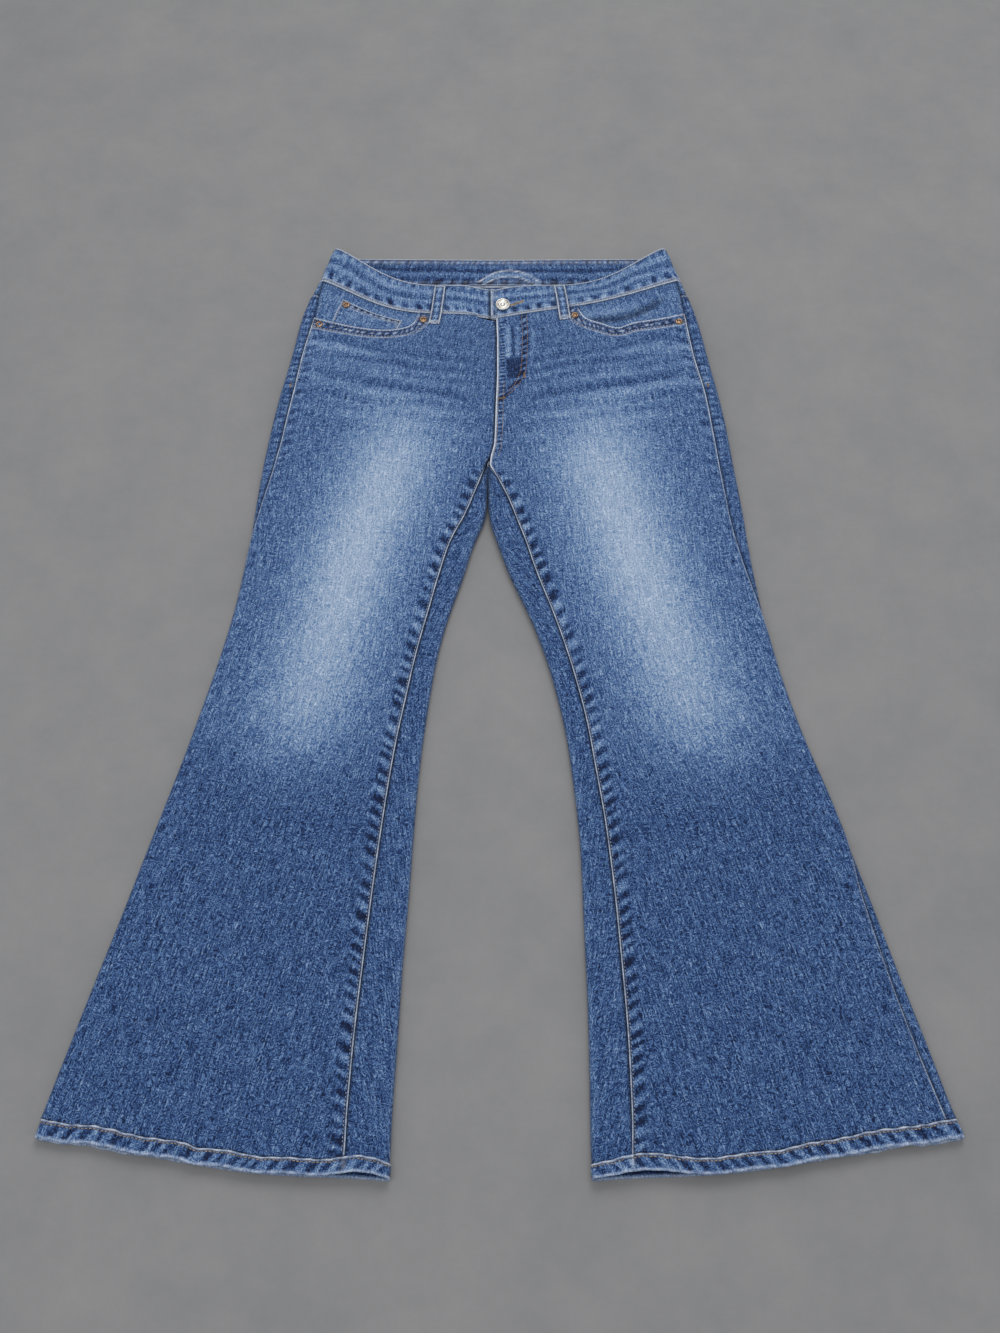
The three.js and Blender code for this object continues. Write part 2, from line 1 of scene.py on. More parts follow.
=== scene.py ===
"""Flared jeans laid flat on their back on a grey floor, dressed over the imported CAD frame.

The cloth is worked out in millimetres on one flattened skin and put into Blender in metres.
"Down" is the way from the waist seam to the hem. "Across" is the way over the cloth from
the outer fold, above zero over the front and below zero under the back. "Right" is the
wearer's right, at -X.
"""

from types import SimpleNamespace

import bpy
import numpy as np
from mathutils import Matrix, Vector


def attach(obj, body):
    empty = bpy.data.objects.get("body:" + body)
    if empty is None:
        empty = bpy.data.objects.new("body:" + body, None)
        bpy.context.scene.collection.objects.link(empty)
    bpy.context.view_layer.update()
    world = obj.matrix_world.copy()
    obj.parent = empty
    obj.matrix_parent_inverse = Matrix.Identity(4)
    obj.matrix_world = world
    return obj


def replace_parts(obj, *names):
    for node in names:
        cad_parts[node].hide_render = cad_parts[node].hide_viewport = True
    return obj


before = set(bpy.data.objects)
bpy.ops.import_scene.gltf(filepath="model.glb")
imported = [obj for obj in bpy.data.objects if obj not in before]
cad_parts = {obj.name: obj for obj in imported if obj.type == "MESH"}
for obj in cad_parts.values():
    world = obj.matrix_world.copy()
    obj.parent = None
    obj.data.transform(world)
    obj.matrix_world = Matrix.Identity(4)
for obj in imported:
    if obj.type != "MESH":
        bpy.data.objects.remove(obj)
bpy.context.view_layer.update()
scene = bpy.context.scene


# Camera. It hangs above the hems and looks down over the waist, so the hems come out wide
# and the waist narrow. A 42 mm lens on a 36 mm frame, 1.62 m from the floor at the middle.

aim = Vector((0, -0.017, 0))
tilt = np.radians(62)
backwards = Vector((0, -np.cos(tilt), np.sin(tilt)))
camera = bpy.data.objects.new("photo_camera", bpy.data.cameras.new("photo_camera"))
camera.data.lens = 42
camera.data.sensor_width = 36
camera.location = aim + 1.62 * backwards
camera.rotation_euler = (-backwards).to_track_quat("-Z", "Y").to_euler()
scene.collection.objects.link(camera)
scene.camera = camera
scene.view_settings.view_transform = "Standard"


# Floor and light. A plain grey studio floor, an even pale surround, one wide soft lamp beyond
# the waist that throws the short soft shadow under the hems, and a weaker one on the near side.

MM = 0.001
FLOOR_SIDE = 40000


def linear(colour):
    """sRGB hex to linear light: ((c + 0.055) / 1.055) ** 2.4 above 0.04045, else c / 12.92."""
    parts = [(colour >> shift & 255) / 255 for shift in (16, 8, 0)]
    return [((c + 0.055) / 1.055) ** 2.4 if c > 0.04045 else c / 12.92 for c in parts]


def add(tree, kind, options=(), inputs=()):
    """Adds one node. Options are its own settings; inputs are values, sockets or nodes.

    A node given as an input stands for its first output.
    """
    made = tree.nodes.new("ShaderNode" + kind)
    for name, value in dict(options).items():
        if name == "stops":
            for k, (position, colour) in enumerate(value):
                stop = made.color_ramp.elements[k] if k < 2 else made.color_ramp.elements.new(position)
                stop.position = position
                stop.color = [*linear(colour), 1]
        else:
            setattr(made, name, value)
    for name, value in dict(inputs).items():
        if isinstance(value, bpy.types.Node):
            value = value.outputs[0]
        if isinstance(value, bpy.types.NodeSocket):
            tree.links.new(value, made.inputs[name])
        else:
            made.inputs[name].default_value = value
    return made


def surface(name, sockets):
    """A new material with a shader whose sockets hold the given values; returns both and the tree."""
    material = bpy.data.materials.new(name)
    material.use_nodes = True
    shader = material.node_tree.nodes["Principled BSDF"]
    for socket, value in sockets.items():
        shader.inputs[socket].default_value = value
    return material, shader, material.node_tree


# Painted studio floor: matt, even, with the faintest grain of a roller
floor_paint, shader, tree = surface("matt_floor_paint", {"Roughness": 0.9, "Specular IOR Level": 0.15})
where = add(tree, "TexCoord")
grain = add(tree, "TexNoise", {}, {
    "Vector": where.outputs["Object"], "Scale": 9, "Detail": 9, "Roughness": 0.75,
})
tone = add(tree, "ValToRGB", {"stops": [(0.3, 0x8A8A8A), (0.7, 0x969595)]}, {"Fac": grain})
tree.links.new(tone.outputs["Color"], shader.inputs["Base Color"])

side = FLOOR_SIDE * MM / 2
mesh = bpy.data.meshes.new("studio_floor")
corners = [(-side, -side, 0), (side, -side, 0), (side, side, 0), (-side, side, 0)]
mesh.from_pydata(corners, [], [(0, 1, 2, 3)])
mesh.materials.append(floor_paint)
floor = bpy.data.objects.new("studio_floor", mesh)
scene.collection.objects.link(floor)

world = bpy.data.worlds.new("pale_surround")
scene.world = world
world.use_nodes = True
world.node_tree.nodes["Background"].inputs["Color"].default_value = [*linear(0xF4F6FA), 1]
world.node_tree.nodes["Background"].inputs["Strength"].default_value = 0.5

for name, place, size, power in (
    ("soft_lamp", (0.35, 1.3, 2.3), 1.5, 24), ("near_fill", (-0.5, -0.9, 2.4), 1.8, 15),
):
    lamp = bpy.data.objects.new(name, bpy.data.lights.new(name, "AREA"))
    lamp.data.size = size
    lamp.data.energy = power
    lamp.location = place
    lamp.rotation_euler = (-Vector(place)).to_track_quat("-Z", "Y").to_euler()
    scene.collection.objects.link(lamp)


# Front panels. Washed stretch denim, cut flared, with a curved pocket opening hemmed by two
# rows of stitching. The leg edges lap over the back panels in felled seams that rope as they
# shrink. The left one laps over the right at the fly. All cloth follows the skin below.

DENIM = 1.2
SEAM_GAP = 0.3
HALF_GAP = SEAM_GAP / 2
HALVES = ("right", "left")
UNDER_DENIM = DENIM + SEAM_GAP
WAIST_SEAM_Y = 490
BAND_TOP = -49
CROTCH = 254
HEM_SEAM = 971
HEM_EDGE = 988

# The outer edge: down, its x, how far in the side seam lies, and the front's sag
EDGE = {
    "right": np.array([
        [-49, -200, 14, -24], [0, -215, 14, -19], [48, -231, 21, -9], [110, -241, 18, -3],
        [166, -251, 20, 0], [222, -259, 20, 0], [254, -262.5, 18, 0], [320, -267.5, 9, 0],
        [378, -272, 2, 0], [430, -278, 0, 0], [502, -291, 0, 0], [572, -307, 0, 0],
        [670, -332, 0, 0], [764, -357, 0, -2], [881, -388, 0, -4], [971, -412, 0, -7],
        [988, -416, 0, -7],
    ]),
    "left": np.array([
        [-49, 200, 14, -24], [0, 215, 14, -7], [48, 229.5, 20, -3], [110, 240.5, 22, 0],
        [166, 249, 20, 0], [222, 256, 21, 0], [254, 259, 21, 0], [320, 265.5, 20, 0],
        [378, 269.5, 14, 0], [430, 275, 7, 0], [502, 286, 0, 0], [572, 302, 0, 0],
        [670, 331.5, 0, 0], [764, 355, 10, -2], [881, 386.5, 15, -4], [971, 410, 13, -7],
        [988, 415.5, 13, -7],
    ]),
}

# The middle of the trunk: down, then x and y at the fly, then x and y at the seat seam
RISE = np.array([
    [-49, -5, 476, -4, 537], [0, -4.5, 433, -4, 494], [48, -3.5, 398, -4, 446],
    [110, -3.5, 357, -4, 384], [166, -5, 308, -5, 326], [222, -6.5, 259, -7.5, 262],
    [254, -13.5, 228, -13.5, 228],
])

# The inner fold of a leg: down, its x and y, and how far in from it the inseam lies
LEG = {
    "right": np.array([
        [254, -13.5, 228, 1.8], [286, -13.7, 197, 12], [320, -14, 163, 23], [346, -26, 136, 26],
        [378, -36, 98, 26], [430, -54, 38, 22], [502, -70, -40, 22.5], [572, -78, -114, 27],
        [670, -85, -214, 32], [764, -89.5, -310, 36.5], [881, -95, -430, 40],
        [971, -97, -521, 41.5], [988, -97, -539, 42],
    ]),
    "left": np.array([
        [254, -13.5, 228, 1.8], [286, -13.4, 197, 17], [320, -13, 163, 29], [346, -5, 136, 31],
        [378, 7, 98, 29], [430, 32, 38, 24.5], [502, 55, -40, 23], [572, 69, -114, 23],
        [670, 77.5, -214, 27.5], [764, 80.5, -310, 32], [881, 81, -430, 37],
        [971, 81, -521, 37.5], [988, 81, -539, 37],
    ]),
}

# Each half has its own run of puckers: this goes on top of a seed
SIDE_SEED = {"right": 0, "left": 1}

# Heights: down, the underside's lift, the top beside the outer edge and beside the middle
HEIGHT = np.array([
    [-49, 1.5, 25, 20], [0, 1.5, 22, 19.5], [48, 1.5, 19.5, 18], [110, 1.5, 17.5, 17],
    [166, 1.5, 16.5, 16.5], [222, 1.5, 15.5, 16], [254, 1.5, 15, 15], [320, 0, 12.5, 13],
    [378, 0, 11.5, 12], [430, 0, 11, 11], [502, 0, 10.5, 10.5], [764, 0, 10, 10.5],
    [881, 0, 10, 11.5], [971, 0, 10, 13.5], [988, 0, 10.5, 14.5],
])


def read(table, down):
    """Each column at a way down by Hermite cubics whose slopes are harmonic means, so none overshoots."""
    ways, values = table[:, 0], table[:, 1:]
    spans = np.diff(ways)
    steps = np.diff(values, axis=0) / spans[:, None]
    first = (2 * spans[1:] + spans[:-1])[:, None]
    second = (spans[1:] + 2 * spans[:-1])[:, None]
    rising = steps[:-1] * steps[1:] > 0
    lower, upper = np.where(rising, steps[:-1], 1), np.where(rising, steps[1:], 1)
    slopes = np.zeros_like(values)
    slopes[0], slopes[-1] = steps[0], steps[-1]
    slopes[1:-1] = np.where(rising, (first + second) / (first / lower + second / upper), 0)
    k = np.clip(np.searchsorted(ways, down) - 1, 0, len(ways) - 2)
    span = spans[k][..., None]
    t = np.clip((down - ways[k])[..., None] / span, 0, 1)
    start = (2 * t**3 - 3 * t**2 + 1) * values[k] + (t**3 - 2 * t**2 + t) * span * slopes[k]
    end = (3 * t**2 - 2 * t**3) * values[k + 1] + (t**3 - t**2) * span * slopes[k + 1]
    return np.moveaxis(start + end, -1, 0)


def soft(start, end, value):
    """A soft step, 3 t^2 - 2 t^3, from 0 at start to 1 at end; start may be the larger."""
    t = np.clip((value - start) / (end - start), 0, 1)
    return t * t * (3 - 2 * t)


def bell(value, middle, width):
    """A bell, exp(-((value - middle) / width)^2)."""
    return np.exp(-(((value - middle) / width) ** 2))


def quarter(wide, high):
    """Length of a quarter of an ellipse, pi / 2 * sqrt((a^2 + b^2) / 2)."""
    return np.pi / 2 * np.sqrt((wide * wide + high * high) / 2)


def paired(first, second):
    """Two values side by side at each point of their shared grid."""
    return np.stack(np.broadcast_arrays(first, second), -1)


def section(half, down):
    """All the measures of one half's section at each way down; a fold is 0.8 as wide as high.

    The leg's lines are eased: a quarter, a half and a quarter of their values 16 mm apart.
    """
    down = np.asarray(down, float)
    out_x, seam, sag = read(EDGE[half], down)
    rise = read(RISE, down)
    ease = 16 * soft(262, 300, down)
    leg = (read(LEG[half], down - ease) + 2 * read(LEG[half], down) + read(LEG[half], down + ease)) / 4
    lift, high_out, high_in = read(HEIGHT, down)
    is_leg = down >= CROTCH
    fold = paired(leg[0], leg[1])
    at = SimpleNamespace(seam=seam, sag=sag, lift=lift, high_out=high_out, high_in=high_in, is_leg=is_leg)
    at.outer = paired(out_x, WAIST_SEAM_Y - down)
    at.front = np.where(is_leg[..., None], fold, paired(rise[0], rise[1]))
    at.back = np.where(is_leg[..., None], fold, paired(rise[2], rise[3]))
    at.out_half = (high_out - lift) / 2
    at.out_wide = 0.8 * at.out_half
    at.out_arc = quarter(at.out_wide, at.out_half)
    at.top_half = (high_in - lift) / 2 * soft(CROTCH, CROTCH + 60, down)
    at.low_half = (high_in - lift) / 2 * soft(CROTCH - 55, CROTCH, down)
    at.top_wide, at.low_wide = 0.8 * at.top_half, 0.8 * at.low_half
    at.top_arc, at.low_arc = quarter(at.top_wide, at.top_half), quarter(at.low_wide, at.low_half)
    at.front_wide = np.linalg.norm(at.outer - at.front, axis=-1) - HALF_GAP
    at.back_wide = np.linalg.norm(at.outer - at.back, axis=-1) - HALF_GAP
    at.inset = np.where(is_leg, leg[2], 1.8 * soft(CROTCH - 14, CROTCH, down))
    at.wall = high_in - at.top_half - lift - at.low_half
    at.over = at.out_arc + at.front_wide - at.out_wide - at.top_wide + at.top_arc
    at.under = at.out_arc + at.back_wide - at.out_wide - at.low_wide + at.low_arc
    at.start = at.seam + HALF_GAP
    at.end = at.over - np.where(is_leg, at.top_arc - at.top_wide, 0) - at.inset
    return at


def skin(half, down, across, depth=0.0):
    """Points of the skin, or of a layer that lies depth below its outside.

    Folds are quarter ellipses: inward = a - (a - depth) cos u, height = lift + b +- (b - depth) sin u.
    Between them the front is a straight slope and the back lies at the height lift + depth.
    """
    down, across, depth = np.broadcast_arrays(*[np.asarray(v, float) for v in (down, across, depth)])
    at = section(half, down)
    turned = -across > at.under + at.wall
    on_top = (across >= 0) | turned
    over = np.where(turned, at.over + across + at.under + at.wall, across)
    turn = np.clip(over / at.out_arc, 0, 1) * np.pi / 2
    last_arc = at.over - at.top_arc
    last = np.clip((over - last_arc) / np.maximum(at.top_arc, 1e-9), 0, 1) * np.pi / 2
    flat = at.out_wide + over - at.out_arc
    part = np.clip((flat - at.out_wide) / (at.front_wide - at.out_wide), 0, 1)
    kinds = [over < at.out_arc, (over > last_arc) & (at.top_arc > 0)]
    inward_top = np.select(kinds, [
        at.out_wide - (at.out_wide - depth) * np.cos(turn),
        at.front_wide - at.top_wide + (at.top_wide - depth) * np.sin(last),
    ], flat)
    high_top = np.select(kinds, [
        at.lift + at.out_half + (at.out_half - depth) * np.sin(turn),
        at.high_in - at.top_half + (at.top_half - depth) * np.cos(last),
    ], at.high_out + (at.high_in - at.high_out) * part - depth)
    below = -across
    turn = np.clip(below / at.out_arc, 0, 1) * np.pi / 2
    last_arc = at.under - at.low_arc
    last = np.clip((below - last_arc) / np.maximum(at.low_arc, 1e-9), 0, 1) * np.pi / 2
    kinds = [below < at.out_arc, below <= last_arc, below < at.under]
    inward_low = np.select(kinds, [
        at.out_wide - (at.out_wide - depth) * np.cos(turn),
        at.out_wide + below - at.out_arc,
        at.back_wide - at.low_wide + (at.low_wide - depth) * np.sin(last),
    ], at.back_wide - depth)
    high_low = np.select(kinds, [
        at.lift + at.out_half - (at.out_half - depth) * np.sin(turn),
        at.lift + depth,
        at.lift + at.low_half - (at.low_half - depth) * np.cos(last),
    ], at.lift + at.low_half + below - at.under)
    inward = np.where(on_top, inward_top, inward_low)
    way = np.where(on_top[..., None], at.front, at.back) - at.outer
    length = np.linalg.norm(way, axis=-1)
    lean = np.where(at.is_leg, 1.3, 0.85)
    wave = np.sin(np.pi * np.clip(inward / length, 0, 1) ** lean) ** 2
    sag = np.where(on_top | at.is_leg, at.sag * wave, 0)
    place = at.outer + way * (inward / length)[..., None]
    return np.stack([place[..., 0], place[..., 1] + sag, np.where(on_top, high_top, high_low)], -1)


def past_middle(half, down, reach, depth=0.0):
    """Points of the front, reach past the middle line, which go on over the other half."""
    other = {"right": "left", "left": "right"}[half]
    own = skin(half, down, section(half, down).over - np.abs(reach), depth)
    far = skin(other, down, section(other, down).over - np.abs(reach), depth)
    return np.where(np.less_equal(reach, 0)[..., None], own, far)


def puckers(along, pitch, seed):
    """Uneven ridges and troughs, -1 to 1: soft steps between jittered knots of changing sign."""
    rng = np.random.default_rng(seed)
    count = 2 * int(1400 / pitch)
    knots = np.cumsum(pitch / 2 * rng.uniform(0.5, 1.5, count)) - 150
    heights = rng.uniform(0.3, 1, count) * np.where(np.arange(count) % 2, 1, -1)
    k = np.clip(np.searchsorted(knots, along) - 1, 0, count - 2)
    t = soft(0, 1, (along - knots[k]) / (knots[k + 1] - knots[k]))
    return heights[k] + (heights[k + 1] - heights[k]) * t


def swell(place, size, seed):
    """Slow unevenness, about -1 to 1: the mean of six sine waves that run in mixed directions."""
    rng = np.random.default_rng(seed)
    angle, phase = rng.uniform(0, 2 * np.pi, (2, 6))
    pace = 2 * np.pi / (size * rng.uniform(0.7, 1.5, 6))
    x, y = place[..., 0, None], place[..., 1, None]
    return np.sin((x * np.cos(angle) + y * np.sin(angle)) * pace + phase).mean(-1) * 1.7


def look(shape):
    """Empty relief in millimetres and empty marks: fade, worn and dark, which is painted shade."""
    return SimpleNamespace(**{name: np.zeros(shape) for name in ("relief", "fade", "worn", "dark")})


def raise_to(made, mark, amount):
    """Lifts one mark to an amount where it is lower: the larger of the two."""
    setattr(made, mark, np.maximum(getattr(made, mark), amount))


def sharpen(lean):
    """Steeper sides and flatter tops: the sign of the value times its size to the power 0.6."""
    return np.sign(lean) * np.abs(lean) ** 0.6


def upper_edge(at, distance, along, seed, rope=1.0, worn=0.85):
    """The lap of a felled seam: rubbed edge, a line of painted shade inside it, 11 mm of turning, and
    roping.
    """
    lean = sharpen(puckers(along + 0.5 * distance, 14, seed))
    zone = soft(1.8, 3.2, distance) * soft(17, 9, distance)
    at.relief += 0.5 * soft(2.2, 0.3, distance) + 0.35 * soft(12.5, 10.5, distance)
    at.relief += 0.6 * rope * lean * zone
    at.fade += rope * zone * (0.55 * np.maximum(lean, 0) + 0.95 * np.minimum(lean, 0) - 0.04)
    rubbed = 0.75 + 0.25 * puckers(along, 23, seed + 100)
    raise_to(at, "worn", worn * rubbed * bell(distance, 0.45, 0.65))
    # Painted shade: a dark line 2 mm in from the lap's edge, in the groove before the stitching.
    raise_to(at, "dark", 0.75 * np.minimum(rope, 1) * bell(distance, 2.0, 0.8))


def lower_edge(at, distance, along, seed, rope=0.4, dark=0.85):
    """The cloth that the lap lies on: a thin groove darkened with painted shadow, then slight puckers."""
    lean = sharpen(puckers(along, 8.5, seed))
    zone = soft(1, 2.5, distance) * soft(14, 6, distance)
    at.relief += -0.25 * soft(3, 0.5, distance) + 0.35 * rope * lean * zone
    at.fade += 0.3 * rope * lean * zone
    # Painted shadow cast by the lap's edge, darkest at the seam line.
    raise_to(at, "dark", dark * bell(distance, 0, 1.7))


def hem_puckers(at, down, across):
    """Slanting blotches above the hem, where the turning's twist pulls the leg."""
    slant = puckers(across + 0.9 * (HEM_SEAM - down), 15, 33)
    zone = bell(HEM_SEAM - down, 0, 9)
    at.relief += 0.4 * slant * zone
    at.fade += 0.2 * slant * zone


# The pocket openings: where each ends along the waist seam, its depth, how much its edge
# droops and where, and how deep its facing lies. Ways across are those 30 mm down.
POCKET_LEVEL = 30.0
POCKET = {
    "right": {"corner": 137, "depth": 53, "droop": 0, "droop_across": 98, "facing_depth": 2.9},
    "left": {"corner": 139, "depth": 48, "droop": 9, "droop_across": 99, "facing_depth": 4.2},
}


def pocket_down(half, across):
    """How far down the opening is: (1 - p^3)^(1/3) of its depth, and the droop as a bell."""
    pocket = POCKET[half]
    start = EDGE[half][1, 2]
    part = np.clip((across - start) / (pocket["corner"] - start), 0, 1)
    sink = pocket["droop"] * bell(across, pocket["droop_across"], 14)
    return (1 - part**3) ** (1 / 3) * (pocket["depth"] + sink)


def pocket_line(half):
    """Points across and down along the opening's edge, from the side seam to the waist seam."""
    pocket = POCKET[half]
    start = EDGE[half][1, 2]
    part = np.sin(np.linspace(0, np.pi / 2, 140))
    across = start + (pocket["corner"] - start) * part
    return paired(across, pocket_down(half, across))


def lengths_along(line):
    """The way along a line of points to each one: the sum of the steps before it."""
    return np.concatenate([[0], np.cumsum(np.linalg.norm(np.diff(line, axis=0), axis=-1))])


def pocket_gap(half, down, across):
    """Way from the opening's edge, and the way along that edge of its nearest point."""
    line = pocket_line(half)
    lengths = lengths_along(line)
    gap = np.hypot(across[..., None] - line[:, 0], down[..., None] - line[:, 1])
    return gap.min(-1), lengths[gap.argmin(-1)]


# The thigh wash: down, strength, its middle and its half-width as parts of the panel
WASH = np.array([
    [90, 0.07, 0.48, 0.3], [130, 0.1, 0.5, 0.28], [165, 0.29, 0.51, 0.26], [200, 0.58, 0.52, 0.25],
    [235, 0.84, 0.53, 0.26], [270, 0.93, 0.53, 0.265], [320, 0.98, 0.53, 0.27], [380, 1.0, 0.53, 0.275],
    [460, 0.92, 0.52, 0.28], [540, 0.76, 0.505, 0.285], [580, 0.54, 0.5, 0.28], [620, 0.2, 0.49, 0.26],
    [665, 0.0, 0.49, 0.26], [1000, 0.0, 0.49, 0.26],
])

# Whiskers, worn by sitting: middle across and down, half-length, half-width, tilt, strength
WHISKERS = {
    "right": [
        (48, 92, 42, 8, 0.04, 0.34), (78, 118, 60, 6, 0.07, 0.2), (60, 138, 52, 6, 0.1, 0.22),
        (112, 158, 66, 7, 0.1, 0.16), (160, 133, 60, 6, 0.14, 0.12), (185, 176, 50, 7, 0.12, 0.12),
        (90, 186, 60, 8, 0.1, 0.13), (200, 208, 46, 8, 0.1, 0.1),
    ],
    "left": [
        (52, 96, 46, 8, -0.02, 0.3), (88, 124, 64, 6, 0.08, 0.17), (62, 146, 50, 6, 0.1, 0.18),
        (118, 160, 62, 7, 0.12, 0.2), (170, 138, 55, 6, 0.16, 0.1), (190, 180, 52, 7, 0.14, 0.1),
        (92, 192, 60, 8, 0.1, 0.12), (206, 214, 46, 8, 0.1, 0.08),
    ],
}


# Where the front of each leg's end lifts: how far in from the inner fold, and how wide the
# lift is there
HEM_LIFT = {"right": (34, 24), "left": (50, 36)}


def hem_shift(half, down, across):
    """How far the leg's end shifts: a ripple down, and beside the inner fold a lift and a pull back."""
    at = section(half, down)
    inwards, wide = HEM_LIFT[half]
    lifted = bell(at.over - across, inwards, wide) * (across > 0)
    near = soft(925, 975, down)
    ripple = 1.5 * puckers(across, 64, 17 + SIDE_SEED[half]) + 0.5 * puckers(across, 17, 19)
    return near * (ripple * soft(950, 975, down) - 5.5 * lifted), near * 2.4 * lifted


def fly_look(at, inwards, down):
    """The fly's face: a white edge, a ladder of ticks, pale stripes, a dark patch and the curved seam."""
    upper, lower = soft(14, 26, down) * soft(88, 80, down), soft(82, 90, down) * soft(128, 118, down)
    broken = 0.8 + 0.2 * puckers(down, 14, 34)
    raise_to(at, "worn", bell(inwards, 0.7, 1.0))
    at.fade += (0.75 * bell(inwards, 13, 3.5) + 0.45 * bell(inwards, 24, 2.5)) * upper * broken
    at.fade -= 0.6 * bell(inwards, 18.8, 2) * upper
    at.fade -= 0.65 * soft(10, 13, inwards) * soft(31, 27, inwards) * lower
    ladder = sharpen(np.sin(2 * np.pi * down / 6.4)) * (0.75 + 0.25 * puckers(down, 16, 35))
    rungs = soft(2.6, 3.6, inwards) * soft(10, 8, inwards) * soft(4, 12, down) * soft(245, 225, down)
    at.fade += (0.85 * ladder - 0.1) * rungs
    curve = np.interp(down, [0, 75, 113, 132, 146, 157], [33, 32, 29.5, 23, 14, 3])
    blocks = sharpen(puckers(down + 0.6 * inwards, 12, 36)) * soft(2, 8, down)
    at.fade += (0.9 * blocks - 0.55) * bell(inwards, curve, 4) * soft(160, 154, down)
    at.fade += 0.4 * bell(inwards, curve + 9.5, 1.3) * soft(30, 45, down) * soft(110, 95, down)


LOOP_TOP, LOOP_FOOT = -47, 23


def loop_middle(down):
    """Way across of a front belt loop's middle, which leans 12 mm on the way to its foot."""
    return 144 + 12 * (down - LOOP_TOP) / (LOOP_FOOT - LOOP_TOP)


def front_look(half, down, across):
    """Relief and marks of a front panel from its four edges, its wash, its whiskers and the painted shadow
    of its belt loop.
    """
    at = section(half, down)
    made = look(np.shape(across))
    part = np.clip((across - at.start) / (at.end - at.start), 0, 1)
    strength, middle, width = read(WASH, down)
    shift = 0.015 if half == "right" else -0.015
    base = 0.15 * soft(660, 540, down) + 0.06 * soft(0.16, 0, part)
    made.fade += base + strength * bell(part, middle + shift, width) * 0.89 - 0.035
    for x, y, long, wide, tilt, force in WHISKERS[half]:
        sideways = across - x
        streak = bell(sideways, 0, long) * bell(down - y - tilt * sideways, 0, wide)
        made.fade += 1.25 * force * streak
        made.relief += 1.1 * force * streak
    bands = puckers(down - 0.1 * across + 3 * swell(skin(half, down, across), 90, 15), 21, 16)
    hips = bell(down, 128, 62) * soft(0.05, 0.2, part) * soft(0.95, 0.75, part)
    made.fade += 0.28 * bands * hips - 0.03 * hips
    made.relief += 0.6 * bands * hips
    made.relief += 0.45 * swell(skin(half, down, across), 150, 11)
    sides = 0.35 + 0.65 * soft(330, 180, down) + 0.3 * soft(880, 960, down)
    side_rope = 0.2 + 0.3 * soft(330, 180, down)
    upper_edge(made, across - at.start, down, 21 + SIDE_SEED[half], rope=side_rope, worn=sides)
    legs = soft(CROTCH, CROTCH + 16, down)
    inner = look(np.shape(across))
    upper_edge(inner, at.end - across, down, 23 + SIDE_SEED[half])
    lap = look(np.shape(across))
    if half == "left":
        upper_edge(lap, at.end - across, down, 25, rope=0.25)
        fly_look(lap, at.end - across, down)
    else:
        # Painted shadow of the left front's lap on the right front at the fly.
        lower_edge(lap, np.maximum(at.end - across, 0) * 0.8, down, 26, rope=0.3, dark=1)
    for name in ("relief", "fade", "worn", "dark"):
        edge = getattr(inner, name) * legs + getattr(lap, name) * (1 - legs)
        old = getattr(made, name)
        setattr(made, name, old + edge if name in ("relief", "fade") else np.maximum(old, edge))
    top = section(half, POCKET_LEVEL)
    level = top.start + (top.end - top.start) * part
    gap, along = pocket_gap(half, down, level)
    hem = soft(15.5, 13.5, gap)
    near = puckers(along, 7, 31)
    made.relief += 0.35 * hem + 0.25 * near * bell(gap, 7, 5)
    chain = sharpen(puckers(along + 0.7 * gap, 8, 37))
    made.fade += hem * soft(1.2, 2.5, gap) * (-0.5 + 0.95 * np.maximum(chain, 0) * bell(gap, 7.5, 3.2))
    raise_to(made, "worn", np.maximum(0.95 * bell(gap, 0.5, 0.75), 0.5 * bell(gap, 14.6, 0.8)))
    raise_to(made, "worn", 0.75 * np.maximum(chain, 0) * bell(gap, 7.5, 1.8) * hem)
    made.fade += 0.14 * near * bell(gap, 19, 4)
    # Painted shadow under the waistband's edge, kept out of the pocket opening.
    lower_edge(made, np.maximum(down, 0) + 60 * soft(6, 0, gap), across, 32, rope=0.3, dark=0.95)
    hem_puckers(made, down, across)
    # Painted shadow cast by the belt loop on either side of it, above 25 mm down.
    beside_loop = np.abs(across - loop_middle(down))
    raise_to(made, "dark", 0.6 * bell(beside_loop, 7.2, 1.3) * soft(25, 22, down))
    return made


def rounding(distance, radius):
    """How much a rounded edge sinks: r - sqrt(r^2 - (r - d)^2) nearer than r to it."""
    return radius - np.sqrt(np.clip(radius**2 - np.clip(radius - distance, 0, radius) ** 2, 0, None))


def spread(*pieces):
    """Values from (start, end, count) runs joined into one rising or falling row."""
    runs = [np.linspace(start, end, count, endpoint=False) for start, end, count in pieces]
    return np.concatenate([*runs, [pieces[-1][1]]])


def quads(corners):
    """Four-sided faces of a grid of point numbers, one row each."""
    near, far = corners[:-1], corners[1:]
    return np.stack([near[:, :-1], near[:, 1:], far[:, 1:], far[:, :-1]], -1).reshape(-1, 4)


def placed(name, mesh, material):
    """The smooth piece of a mesh, held by the body of the whole garment."""
    mesh.polygons.foreach_set("use_smooth", np.ones(len(mesh.polygons), bool))
    mesh.materials.append(material)
    piece = bpy.data.objects.new(name, mesh)
    scene.collection.objects.link(piece)
    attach(piece, "root")
    return piece


